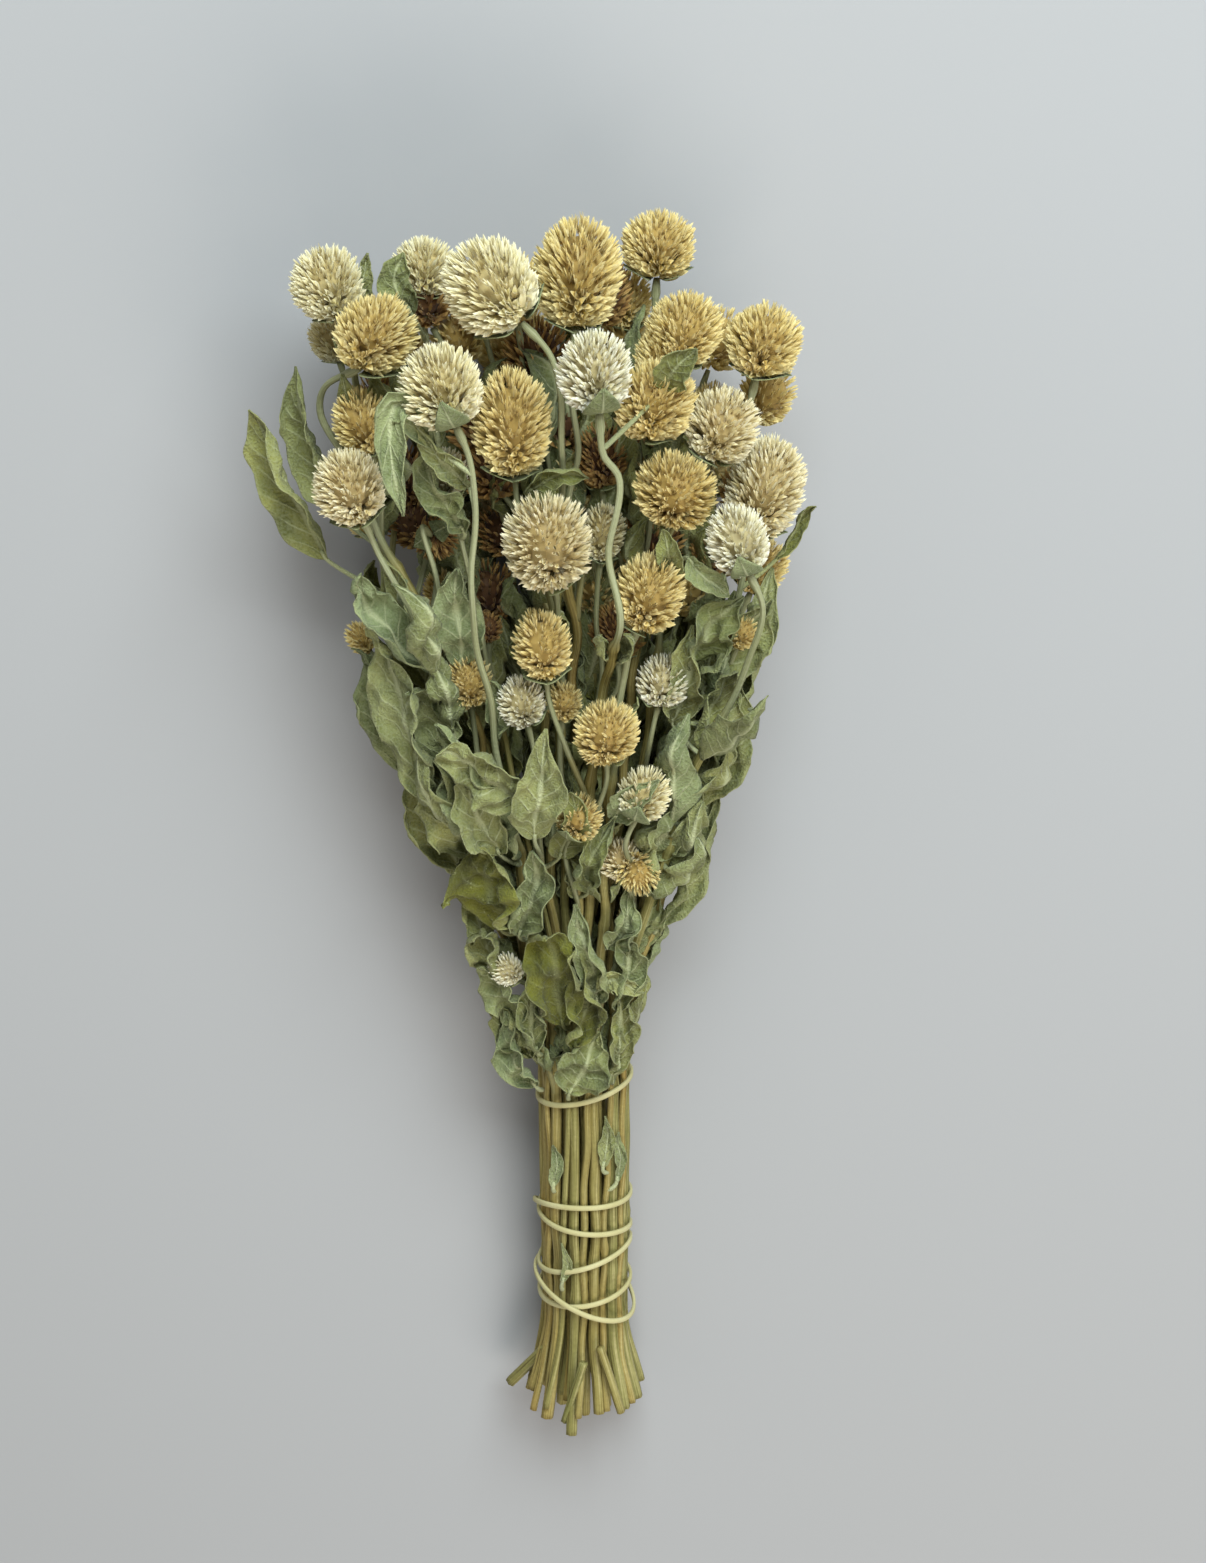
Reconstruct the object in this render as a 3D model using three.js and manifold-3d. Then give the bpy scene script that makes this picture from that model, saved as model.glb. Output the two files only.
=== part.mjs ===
// A bunch of dried globe amaranth, lying on its back on a surface.
// Millimetres. +X across the bunch, +Y from the cut ends towards the flower heads, +Z up.
// While it is laid out, Y = 0 is at the cut ends and Z = 0 is the surface. At the end the whole bunch is
// moved so that its origin is the middle of its footprint, on the surface.

import * as THREE from "three";
import { mergeVertices } from "three/addons/utils/BufferGeometryUtils.js";
import Module from "manifold-3d";

const wasm = await Module();
wasm.setup();

// Driving sizes
const fanScale = 1; // size of the fan of heads and leaves, and of each of them, against the lists below
const gap = 0.35; // room left between pieces that touch
const stalkRadius = 2.3; // main stalk below its first fork
const upperStalkRadius = 1.7; // main stalk above the neck
const peduncleRadius = 1.05; // thin flower stalk under a head
const nodeSwelling = 0.5; // how far a stalk's swollen joint stands out
const stalkRoom = 1.55; // air between neighbouring stalks in the bundle
const bandRadius = 0.9; // half the thickness of an elastic band
const leafThickness = 1.1;
const neckY = 134; // where the upper band holds the bundle
const upperBandSlant = 4.5; // how far the upper band leans along the bundle, each way
const fanRun = 26; // from the neck to where the stalks begin to spread
const heelY = 30; // where the bundle's underside rests, near the cut ends
const axisX = 2.5; // the bundle's middle line at the bands
const axisRise = 0.09; // how much the bundle's middle line climbs for each millimetre of length
const cutSplay = 0.42; // how much wider the cut ends stand than the bundle
const neckSpread = 1.06; // how much wider the stalks stand where the fan starts
const jointRise = 30; // from there to the joint where each stalk gets thinner
const crownShare = 0.82; // share of a stalk's length below its last joint, under the head
const headRun = 14; // straight run of a stalk into its head
const branchHeadRun = 12; // straight run of a side branch into its head
const swellingLength = 1.5; // how long a swollen joint is against its width

const ringStep = 2 * (stalkRadius + nodeSwelling) + stalkRoom;
const innerRing = ringStep; // radius of the bundle's inner ring of stalks
const outerRing = 2 * ringStep; // radius of its outer ring
const fanY = neckY + fanRun;

// The outermost surface of a band wound round the outer ring of stalks rests on the surface.
const windRadius = outerRing + stalkRadius + gap + bandRadius;
const axisZ = (y) => windRadius + bandRadius + axisRise * Math.max(0, y - heelY);

// A place in the fan, listed for a fan that starts 160 mm from the cut ends.
const listedFanY = 160;
function fanPlace([x, y, z]) {
  return new THREE.Vector3(
    axisX + (x - axisX) * fanScale,
    fanY + (y - listedFanY) * fanScale,
    z * fanScale,
  );
}

// Flower heads: middle of the head, width, length, and the way that the head points.
const heads = {
  head_left_tip: { at: [-79, 431, 62], width: 24, length: 24, points: [-0.3, 1, 0.1] },
  head_left_upper: { at: [-62, 418, 79], width: 26, length: 26, points: [0.5, 1, 0.2] },
  head_left_mid: { at: [-69, 388, 70], width: 19, length: 23, points: [-0.3, 1, 0.1] },
  head_left_low: { at: [-72, 371, 88], width: 24, length: 25, points: [-0.35, 1, 0.35] },
  head_cream_large: { at: [-27, 434, 84], width: 31, length: 31, points: [-0.6, 0.7, 0] },
  head_gold_tall: { at: [1, 436, 74], width: 28, length: 36, points: [0.05, 1, 0.05] },
  head_top_right: { at: [27, 441, 50], width: 24, length: 22, points: [0.05, 1, 0.05] },
  head_right_upper: { at: [35, 417, 66], width: 25, length: 24, points: [0.1, 1, 0.2] },
  head_right_tip: { at: [61, 412, 60], width: 26, length: 24, points: [0.2, 1, 0.1] },
  head_pale_drooping: { at: [-42, 405, 96], width: 26, length: 27, points: [-0.35, 1, 0.15] },
  head_gold_oval: { at: [-20, 391, 86], width: 27, length: 36, points: [-0.05, 1, 0.2] },
  head_cream_bracted: { at: [6, 411, 104], width: 23, length: 26, points: [-0.1, 1, 0.1] },
  head_gold_broad: { at: [25, 398, 85], width: 26, length: 26, points: [0.15, 1, 0.25] },
  head_right_white: { at: [47, 388, 76], width: 24, length: 25, points: [0.3, 1, 0.3] },
  head_centre_back: { at: [9, 373, 54], width: 19, length: 23, points: [0, 1, 0] },
  head_right_gold: { at: [32, 370, 90], width: 26, length: 25, points: [0.15, 1, 0.75] },
  head_right_large: { at: [62, 365, 65], width: 27, length: 34, points: [0.2, 1, 0.15] },
  head_right_pale: { at: [51, 355, 94], width: 21, length: 24, points: [-0.35, 1, 0.1] },
  head_centre_large: { at: [-9, 355, 96], width: 30, length: 33, points: [-0.12, 1, 0.7] },
  head_centre_right: { at: [24, 336, 88], width: 24, length: 27, points: [0.3, 1, 0.3] },
  head_centre_low: { at: [-11, 318, 86], width: 20, length: 25, points: [-0.1, 1, 0.3] },
  head_brown_back: { at: [14, 313, 54], width: 19, length: 20, points: [0, 1, 0] },
  head_low_gold: { at: [10, 288, 86], width: 22, length: 23, points: [0, 1, 0.4] },
  head_low_white: { at: [29, 301, 72], width: 18, length: 18, points: [0.2, 1, 0.1] },
  head_low_right: { at: [23, 263, 76], width: 19, length: 19, points: [0.35, 1, 0.1] },
  head_under_left: { at: [-57, 392, 13], width: 26, length: 27, points: [-0.2, 1, 0] },
  head_under_mid: { at: [-20, 402, 14], width: 28, length: 30, points: [-0.05, 1, 0] },
  head_under_low: { at: [-30, 342, 12], width: 24, length: 26, points: [-0.1, 1, 0] },
  head_under_right: { at: [17, 388, 13], width: 26, length: 28, points: [0.05, 1, 0] },
  head_under_far: { at: [50, 362, 12], width: 24, length: 26, points: [0.2, 1, 0] },
};

// Stalks: place in the tied bundle as ring and clock angle in degrees (90 is uppermost), where it is cut,
// the head on its end, the places it passes on the way, and the heads on its side branches with the
// distance of each fork from the cut ends.
const stalks = {
  stalk_01: { ring: outerRing, clock: 75, cut: 2, head: "head_centre_right", via: [[11, 240, 64]] },
  stalk_02: { ring: outerRing, clock: 105, cut: -7, head: "head_centre_large", via: [[-5, 250, 55]] },
  stalk_03: { ring: outerRing, clock: 45, cut: 1, head: "head_right_pale", via: [[34, 251, 65]] },
  stalk_04: {
    ring: outerRing, clock: 135, cut: -3, head: "head_pale_drooping",
    via: [[-26, 272, 72], [-28.5, 295, 79], [-31, 320, 86], [-33.5, 345, 91]],
  },
  stalk_05: { ring: outerRing, clock: 15, cut: 0, head: "head_right_large", via: [[37, 254, 50]] },
  stalk_06: {
    ring: outerRing, clock: 165, cut: 4, head: "head_left_low",
    via: [[-36, 262, 61], [-43, 292, 69], [-50, 313, 74], [-60, 340, 80]],
  },
  stalk_07: { ring: outerRing, clock: -15, cut: -5, head: "head_right_tip", via: [[38, 280, 40]] },
  stalk_08: {
    ring: outerRing, clock: 195, cut: 3, head: "head_left_tip", via: [[-57, 290, 44]],
    forks: [["head_left_mid", 330]],
  },
  stalk_09: { ring: outerRing, clock: -45, cut: -2, head: "head_under_far", via: [[29, 254, 17]] },
  stalk_10: { ring: outerRing, clock: 225, cut: -6, head: "head_under_left", via: [[-31, 268, 17]] },
  stalk_11: { ring: outerRing, clock: -75, cut: 4, head: "head_under_right", via: [[11, 267, 14]] },
  stalk_12: {
    ring: outerRing, clock: 255, cut: 0, head: "head_under_mid", via: [[-10, 274, 14]],
    forks: [["head_under_low", 285]],
  },
  stalk_13: {
    ring: innerRing, clock: 90, cut: -4, head: "head_cream_bracted",
    via: [[6, 262, 67], [9, 300, 70], [14, 327, 98], [11, 350, 98], [14, 376, 100]],
    forks: [["head_centre_low", 255], ["head_low_gold", 232]],
  },
  stalk_14: {
    ring: innerRing, clock: 30, cut: 5, head: "head_right_gold", via: [[23, 260, 52]],
    forks: [["head_low_white", 248], ["head_low_right", 215]],
  },
  stalk_15: {
    ring: innerRing, clock: -30, cut: 0, head: "head_right_upper", via: [[23, 300, 41]],
    forks: [["head_right_white", 335]],
  },
  stalk_16: { ring: innerRing, clock: -90, cut: 3, head: "head_top_right", via: [[14, 295, 37]] },
  stalk_17: {
    ring: innerRing, clock: 210, cut: -8, head: "head_left_upper",
    via: [[-38, 290, 54], [-64, 350, 67], [-75, 374, 61], [-82, 388, 62], [-80, 398, 67]],
  },
  stalk_18: {
    ring: innerRing, clock: 150, cut: 2, head: "head_cream_large",
    via: [[-10, 262, 56], [-7, 318, 65], [-5, 345, 70], [-5, 365, 77], [-4, 385, 87], [-4, 399, 88]],
    forks: [["head_gold_oval", 318]],
  },
  stalk_19: {
    ring: 0, clock: 0, cut: -1, head: "head_gold_tall", via: [[-1, 288, 50]],
    forks: [["head_centre_back", 318], ["head_brown_back", 262]],
  },
};

// Leaves: where the leaf joins its stalk, its tip, the way its upper face looks, full width, how much the
// two halves fold together along the midrib, and how far the tip curls.
const leaves = {
  leaf_left_long: {
    base: [-82, 340, 62], tip: [-105, 394, 60], face: [-0.6, 0, 1],
    width: 18, fold: 0.7, curl: 4,
  },
  leaf_left_second: {
    base: [-80, 352, 46], tip: [-92, 400, 46], face: [-0.3, 0, 1],
    width: 15, fold: 0.6, curl: 3,
  },
  leaf_left_large: {
    base: [-52, 256, 62], tip: [-66, 326, 66], face: [-0.6, 0, 1],
    width: 24, fold: 0.5, curl: -6,
  },
  leaf_front_left: {
    base: [-16, 262, 84], tip: [-46, 284, 84], face: [0, -0.3, 1],
    width: 20, fold: 0.3, curl: -3,
  },
  leaf_front_broad: {
    base: [-14, 248, 82], tip: [-10, 288, 98], face: [0, -0.2, 1],
    width: 18, fold: 0.3, curl: -3,
  },
  leaf_olive_curled: {
    base: [-26, 205, 60], tip: [-31, 248, 68], face: [-0.3, 0, 1],
    width: 20, fold: 0.6, curl: -4,
  },
  leaf_neck: {
    base: [-6, 166, 54], tip: [-10, 212, 62], face: [0, 0, 1],
    width: 20, fold: 0.5, curl: -3,
  },
  leaf_right_mid: {
    base: [40, 250, 58], tip: [55, 296, 62], face: [0.6, 0, 1],
    width: 18, fold: 0.5, curl: 4,
  },
  leaf_right_long: {
    base: [29, 203, 48], tip: [48, 256, 50], face: [0.7, 0, 1],
    width: 16, fold: 0.7, curl: 4,
  },
};

const finishes = {
  straw: new THREE.Color(0.78, 0.64, 0.38),
  stalk: new THREE.Color(0.5, 0.45, 0.2),
  leaf: new THREE.Color(0.42, 0.48, 0.3),
  band: new THREE.Color(0.78, 0.72, 0.55),
};

function finish(colour, roughness) {
  return new THREE.MeshStandardMaterial({ color: colour, roughness, metalness: 0 });
}

// Booleans

function toSolid(geometry) {
  const bare = geometry.clone();
  bare.deleteAttribute("normal");
  bare.deleteAttribute("uv");
  const merged = mergeVertices(bare, 1e-4);
  return new wasm.Manifold(
    new wasm.Mesh({
      numProp: 3,
      vertProperties: new Float32Array(merged.attributes.position.array),
      triVerts: new Uint32Array(merged.index.array),
    }),
  );
}

function join(geometries) {
  const whole = geometries.map(toSolid).reduce((sum, solid) => sum.add(solid));
  const mesh = whole.getMesh();
  const geometry = new THREE.BufferGeometry();
  geometry.setAttribute("position", new THREE.BufferAttribute(new Float32Array(mesh.vertProperties), 3));
  geometry.setIndex(new THREE.BufferAttribute(new Uint32Array(mesh.triVerts), 1));
  geometry.computeVertexNormals();
  return geometry;
}

// A round rod of one radius along a curve.
function rod(curve, radius, steps, sides) {
  const section = new THREE.Shape();
  for (let i = 0; i < sides; i++) {
    const turn = (2 * Math.PI * i) / sides;
    section[i ? "lineTo" : "moveTo"](radius * Math.cos(turn), radius * Math.sin(turn));
  }
  return new THREE.ExtrudeGeometry(section, { steps, bevelEnabled: false, extrudePath: curve });
}

// The stretch of a curve between two of its shares of length, as a curve of its own.
function stretch(curve, from, to) {
  const points = [];
  const count = 8;
  for (let i = 0; i <= count; i++) {
    points.push(curve.getPointAt(from + ((to - from) * i) / count));
  }
  return new THREE.CatmullRomCurve3(points, false, "centripetal");
}

// Flower heads: a globe on a slightly flattened seat, turned about its own axis.

function headFrame(head) {
  const points = new THREE.Vector3(...head.points).normalize();
  return { middle: fanPlace(head.at), points };
}

function headSeat(head) {
  const { middle, points } = headFrame(head);
  const seat = (head.length * fanScale) / 2 + gap;
  return middle.addScaledVector(points, -seat);
}

function makeHead(head) {
  const r = (head.width * fanScale) / 2;
  const h = (head.length * fanScale) / 2;
  const profile = [
    [0, -1],
    [0.5, -0.9],
    [0.88, -0.52],
    [1, -0.02],
    [0.88, 0.5],
    [0.52, 0.87],
    [0, 1],
  ].map(([across, along]) => new THREE.Vector2(across * r, along * h));
  const geometry = new THREE.LatheGeometry(profile, 10);
  const { middle, points } = headFrame(head);
  const turn = new THREE.Quaternion().setFromUnitVectors(new THREE.Vector3(0, 1, 0), points);
  geometry.applyQuaternion(turn);
  geometry.translate(...middle.toArray());
  return geometry;
}

// Stalks: each rises through its own place in the bundle, then fans out to its head.

function bundlePoint(stalk, y, spread) {
  const clock = THREE.MathUtils.degToRad(stalk.clock);
  const floor = stalkRadius + nodeSwelling;
  const x = axisX + stalk.ring * spread * Math.cos(clock);
  const z = axisZ(y) + stalk.ring * spread * Math.sin(clock);
  return new THREE.Vector3(x, y, Math.max(z, floor));
}

function stalkCurve(stalk) {
  const seat = headSeat(heads[stalk.head]);
  const { points } = headFrame(heads[stalk.head]);
  const neck = bundlePoint(stalk, fanY, neckSpread);
  return new THREE.CatmullRomCurve3(
    [
      bundlePoint(stalk, stalk.cut, 1 + cutSplay),
      bundlePoint(stalk, heelY, 1),
      bundlePoint(stalk, (heelY + neckY) / 2, 1),
      bundlePoint(stalk, neckY + upperBandSlant, 1),
      neck,
      ...stalk.via.map(fanPlace),
      seat.clone().addScaledVector(points, -headRun),
      seat,
    ],
    false,
    "centripetal",
  );
}

function shareAtHeight(curve, y) {
  const stride = 0.005;
  let share = 0;
  while (share < 1 && curve.getPointAt(share).y < y) {
    share += stride;
  }
  return share;
}

function swelling(centre, radius) {
  const geometry = new THREE.SphereGeometry(radius, 5, 4);
  geometry.scale(1, swellingLength, 1);
  geometry.translate(...centre.toArray());
  return geometry;
}

function makeStalk(stalk) {
  const curve = stalkCurve(stalk);
  const joint = shareAtHeight(curve, fanY + jointRise);
  const pieces = [
    rod(stretch(curve, 0, joint), stalkRadius, 6, 6),
    rod(stretch(curve, joint, crownShare), upperStalkRadius, 6, 5),
    rod(stretch(curve, crownShare, 1), peduncleRadius, 4, 4),
    swelling(curve.getPointAt(joint), stalkRadius + nodeSwelling),
    swelling(curve.getPointAt(crownShare), upperStalkRadius + nodeSwelling),
  ];
  for (const [name, forkY] of stalk.forks ?? []) {
    const seat = headSeat(heads[name]);
    const { points } = headFrame(heads[name]);
    const share = shareAtHeight(curve, fanPlace([0, forkY, 0]).y);
    const fork = curve.getPointAt(share);
    const branch = new THREE.CatmullRomCurve3(
      [fork, seat.clone().addScaledVector(points, -branchHeadRun), seat],
      false,
      "centripetal",
    );
    pieces.push(rod(branch, peduncleRadius, 5, 4));
    pieces.push(swelling(fork, (share > joint ? upperStalkRadius : stalkRadius) + nodeSwelling));
  }
  return join(pieces);
}

// Leaves: a blade folded along its midrib, pointed at both ends, with its tip curled.

function makeLeaf(leaf) {
  const base = fanPlace(leaf.base);
  const along = fanPlace(leaf.tip).sub(base);
  const length = along.length();
  along.normalize();
  const across = new THREE.Vector3().crossVectors(along, new THREE.Vector3(...leaf.face)).normalize();
  const face = new THREE.Vector3().crossVectors(across, along);
  const blade = new THREE.SphereGeometry(1, 4, 9);
  const position = blade.attributes.position;
  for (let i = 0; i < position.count; i++) {
    const share = (1 + position.getY(i)) / 2;
    const side = (position.getX(i) * leaf.width * fanScale) / 2;
    const lift = Math.abs(side) * leaf.fold + leaf.curl * fanScale * share * share;
    const depth = (position.getZ(i) * leafThickness) / 2;
    const point = base.clone();
    point.addScaledVector(along, share * length);
    point.addScaledVector(across, side);
    point.addScaledVector(face, lift + depth);
    position.setXYZ(i, point.x, point.y, point.z);
  }
  return blade;
}

// Elastic bands wound round the bundle.

function windPoint(turn, y, radius) {
  return new THREE.Vector3(axisX + radius * Math.cos(turn), y, axisZ(y) + radius * Math.sin(turn));
}

function closedBand(pointAt, steps) {
  const halves = [
    [0, 0.52],
    [0.5, 1.02],
  ].map(([from, to]) => {
    const points = [];
    const count = Math.round(steps * (to - from));
    for (let i = 0; i <= count; i++) {
      points.push(pointAt(from + ((to - from) * i) / count));
    }
    return rod(new THREE.CatmullRomCurve3(points, false, "centripetal"), bandRadius, count, 5);
  });
  return join(halves);
}

// Where the lower band passes the bundle's left and right sides by turns: down from its highest turn and
// back up, as distances from the cut ends.
const lowerBandPlaces = [84.5, 88, 81.5, 74, 58, 68, 46, 51, 55, 38];
// Half turns of the band between which it climbs onto its earlier turns, and comes down again.
const climbFrom = 7.4;
const climbTo = 7.56;
const comeDown = 0.5;

function upperBandPoint(share) {
  const turn = 2 * Math.PI * share;
  return windPoint(turn, neckY + upperBandSlant * Math.cos(turn), windRadius);
}

function lowerBandPoint(share) {
  const count = lowerBandPlaces.length;
  const halves = (((share % 1) + 1) % 1) * count;
  const whole = Math.floor(halves);
  const placeAt = (step) => lowerBandPlaces[(whole + step + count) % count];
  const [before, from, to, after] = [-1, 0, 1, 2].map(placeAt);
  const t = halves - whole;
  const bend = 2 * before - 5 * from + 4 * to - after;
  const twist = 3 * from - before - 3 * to + after;
  const y = from + ((to - before) * t + bend * t ** 2 + twist * t ** 3) / 2;
  const climbed = (halves - climbFrom) / (climbTo - climbFrom);
  const lift = THREE.MathUtils.clamp(Math.max(climbed, 1 - halves / comeDown), 0, 1);
  return windPoint(Math.PI * (1 - halves), y, windRadius + lift * (2 * bandRadius + gap));
}

const bunch = new THREE.Group();

function add(name, geometry, material) {
  const mesh = new THREE.Mesh(geometry, material);
  mesh.name = name;
  bunch.add(mesh);
}

for (const [name, head] of Object.entries(heads)) {
  add(name, makeHead(head), finish(finishes.straw, 0.85));
}
for (const [name, stalk] of Object.entries(stalks)) {
  add(name, makeStalk(stalk), finish(finishes.stalk, 0.8));
}
for (const [name, leaf] of Object.entries(leaves)) {
  add(name, makeLeaf(leaf), finish(finishes.leaf, 0.9));
}
add("band_upper", closedBand(upperBandPoint, 24), finish(finishes.band, 0.7));
add("band_lower", closedBand(lowerBandPoint, 150), finish(finishes.band, 0.7));

const box = new THREE.Box3().setFromObject(bunch);
bunch.position.set(-(box.min.x + box.max.x) / 2, -(box.min.y + box.max.y) / 2, -box.min.z);

export default bunch;
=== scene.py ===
import math
import random

import bpy
import numpy as np
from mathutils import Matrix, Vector


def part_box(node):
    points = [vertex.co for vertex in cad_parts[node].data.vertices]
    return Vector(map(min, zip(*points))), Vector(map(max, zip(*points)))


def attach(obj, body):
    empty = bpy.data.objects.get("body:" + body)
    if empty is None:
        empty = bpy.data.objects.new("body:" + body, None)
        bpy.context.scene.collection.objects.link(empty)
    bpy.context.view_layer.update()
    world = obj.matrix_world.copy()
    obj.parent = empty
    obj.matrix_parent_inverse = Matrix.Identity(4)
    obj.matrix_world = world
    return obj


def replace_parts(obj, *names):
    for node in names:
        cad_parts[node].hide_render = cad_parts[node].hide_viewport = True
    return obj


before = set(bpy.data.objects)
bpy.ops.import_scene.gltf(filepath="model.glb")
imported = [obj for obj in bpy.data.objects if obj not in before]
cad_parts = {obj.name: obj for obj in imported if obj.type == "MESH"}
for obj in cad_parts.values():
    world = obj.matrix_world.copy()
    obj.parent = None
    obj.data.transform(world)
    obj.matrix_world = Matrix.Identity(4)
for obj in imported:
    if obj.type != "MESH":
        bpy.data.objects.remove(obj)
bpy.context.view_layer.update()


# ---------------------------------------------------------------------------
# Camera. The bunch lies on its back, and the camera hangs over it, a little past the flower heads, looking
# down and back towards the cut stalks. The neck band gives the place of the bunch in the frame.

MM = 0.001
NECK_ALONG = 134.0  # millimetres from the cut ends to the neck band
BUNDLE_ACROSS = 2.5  # where the middle of the bundle lies across the surface
STALK_RADIUS = 2.3
RING_STEP = 7.15  # between one ring of stalks and the next
GAP = 0.35
BAND_HALF = 0.9  # of the frame's round bands
BUNDLE_RADIUS = 2 * RING_STEP + STALK_RADIUS + GAP + BAND_HALF  # out to the middle of a band
RISE = 0.09  # how much the bundle climbs for each millimetre of its length
HEEL_ALONG = 30.0


def bundle_height(along):
    return BUNDLE_RADIUS + BAND_HALF + RISE * np.maximum(0.0, along - HEEL_ALONG)


neck_low, neck_high = (np.array(corner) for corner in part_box("band_upper"))
LAID_OUT = np.array([BUNDLE_ACROSS, NECK_ALONG, bundle_height(NECK_ALONG)])
SHIFT = (neck_low + neck_high) / 2 / MM - LAID_OUT  # from laid-out millimetres to the frame's


def to_frame(points):
    """Laid-out millimetres to the frame's metres."""
    return (np.asarray(points, dtype=float) + SHIFT) * MM


CAMERA_AT = (0.0, 596.0, 995.0)
LOOK_BACK = math.radians(19.7)
LOOK_ASIDE = math.radians(-0.55)
camera_data = bpy.data.cameras.new("camera")
camera_data.sensor_fit = "VERTICAL"
camera_data.sensor_height = 24.0
camera_data.lens = 45.1
camera_data.clip_start = 0.01
camera = bpy.data.objects.new("camera", camera_data)
camera.location = to_frame(CAMERA_AT)
camera.rotation_euler = (-LOOK_BACK, LOOK_ASIDE, 0.0)
bpy.context.collection.objects.link(camera)
bpy.context.scene.camera = camera


# ---------------------------------------------------------------------------
# Floor and light. A wide pale table top, a large cool soft box beyond the flower heads, a weaker warm one
# over the stalks and a dim even room.

FLOOR_HALF = 6.0
floor_material = bpy.data.materials.new("pale_table")
floor_material.use_nodes = True
floor_shader = floor_material.node_tree.nodes["Principled BSDF"]
floor_shader.inputs["Base Color"].default_value = (0.39, 0.386, 0.378, 1.0)
floor_shader.inputs["Roughness"].default_value = 0.85
floor_mesh = bpy.data.meshes.new("floor")
floor_mesh.from_pydata(
    [(x * FLOOR_HALF, y * FLOOR_HALF, 0.0) for x, y in ((-1, -1), (1, -1), (1, 1), (-1, 1))],
    [],
    [(0, 1, 2, 3)],
)
floor = bpy.data.objects.new("floor", floor_mesh)
floor_mesh.materials.append(floor_material)
bpy.context.collection.objects.link(floor)


def soft_box(name, at, aim, size, power, colour):
    light = bpy.data.lights.new(name, "AREA")
    light.shape = "RECTANGLE"
    light.size, light.size_y = size
    light.energy = power
    light.color = colour
    holder = bpy.data.objects.new(name, light)
    holder.location = at
    holder.rotation_euler = (Vector(aim) - Vector(at)).to_track_quat("-Z", "Y").to_euler()
    bpy.context.collection.objects.link(holder)


soft_box("key_over_heads", (0.35, 1.25, 1.2), (0, 0.1, 0.05), (1.3, 0.9), 43.0, (0.84, 0.94, 1.0))
soft_box("fill_over_stalks", (0.7, -1.0, 1.4), (0, 0, 0.03), (1.4, 1.2), 19.0, (1.0, 0.94, 0.88))
soft_box("side_left", (-1.3, 0.1, 0.9), (0, 0.1, 0.05), (0.8, 1.2), 1.5, (1.0, 0.88, 0.7))

world = bpy.data.worlds.new("room")
world.use_nodes = True
sky = world.node_tree.nodes["Background"]
sky.inputs["Color"].default_value = (0.88, 0.92, 0.96, 1.0)
sky.inputs["Strength"].default_value = 0.28
bpy.context.scene.world = world
bpy.context.scene.view_settings.view_transform = "Standard"


# ---------------------------------------------------------------------------
# Stalks. Each is one grown stem: stiff, ridged, olive to straw, with swollen joints where it forks, cut
# square at the foot and held with the others by the bands. Thin woolly flower stalks end in the heads.

UPPER_RADIUS = 1.5
PEDUNCLE_RADIUS = 1.0
JOINT_SWELL, JOINT_LENGTH = 0.55, 2.4
CUT_SPLAY = 0.42  # how much wider the rings stand at the cut ends than under the bands
PAST_BAND = 4.5  # the stalks stay together for this far beyond the neck band
FAN_ALONG = 160.0  # where the stalks begin to part
FAN_SPREAD = 1.06
WOOLLY_FROM = 0.6  # share of its length from which a woolly stalk is thin
HEAD_RUN = 14.0  # a main stalk runs straight for this far below its head
SIDE_HEAD_RUN = 10.0
FORK_BELOW = 26.0  # a side head's fork lies at least this far below its seat
FORK_STEPS_BACK = 10
OUTER, INNER = 2 * RING_STEP, RING_STEP
SWAYS = (34, 61, 107)  # lengths of the slow waves in a grown stalk
CURVE_STEPS = 24
FULL_TURN = 6.28

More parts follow.
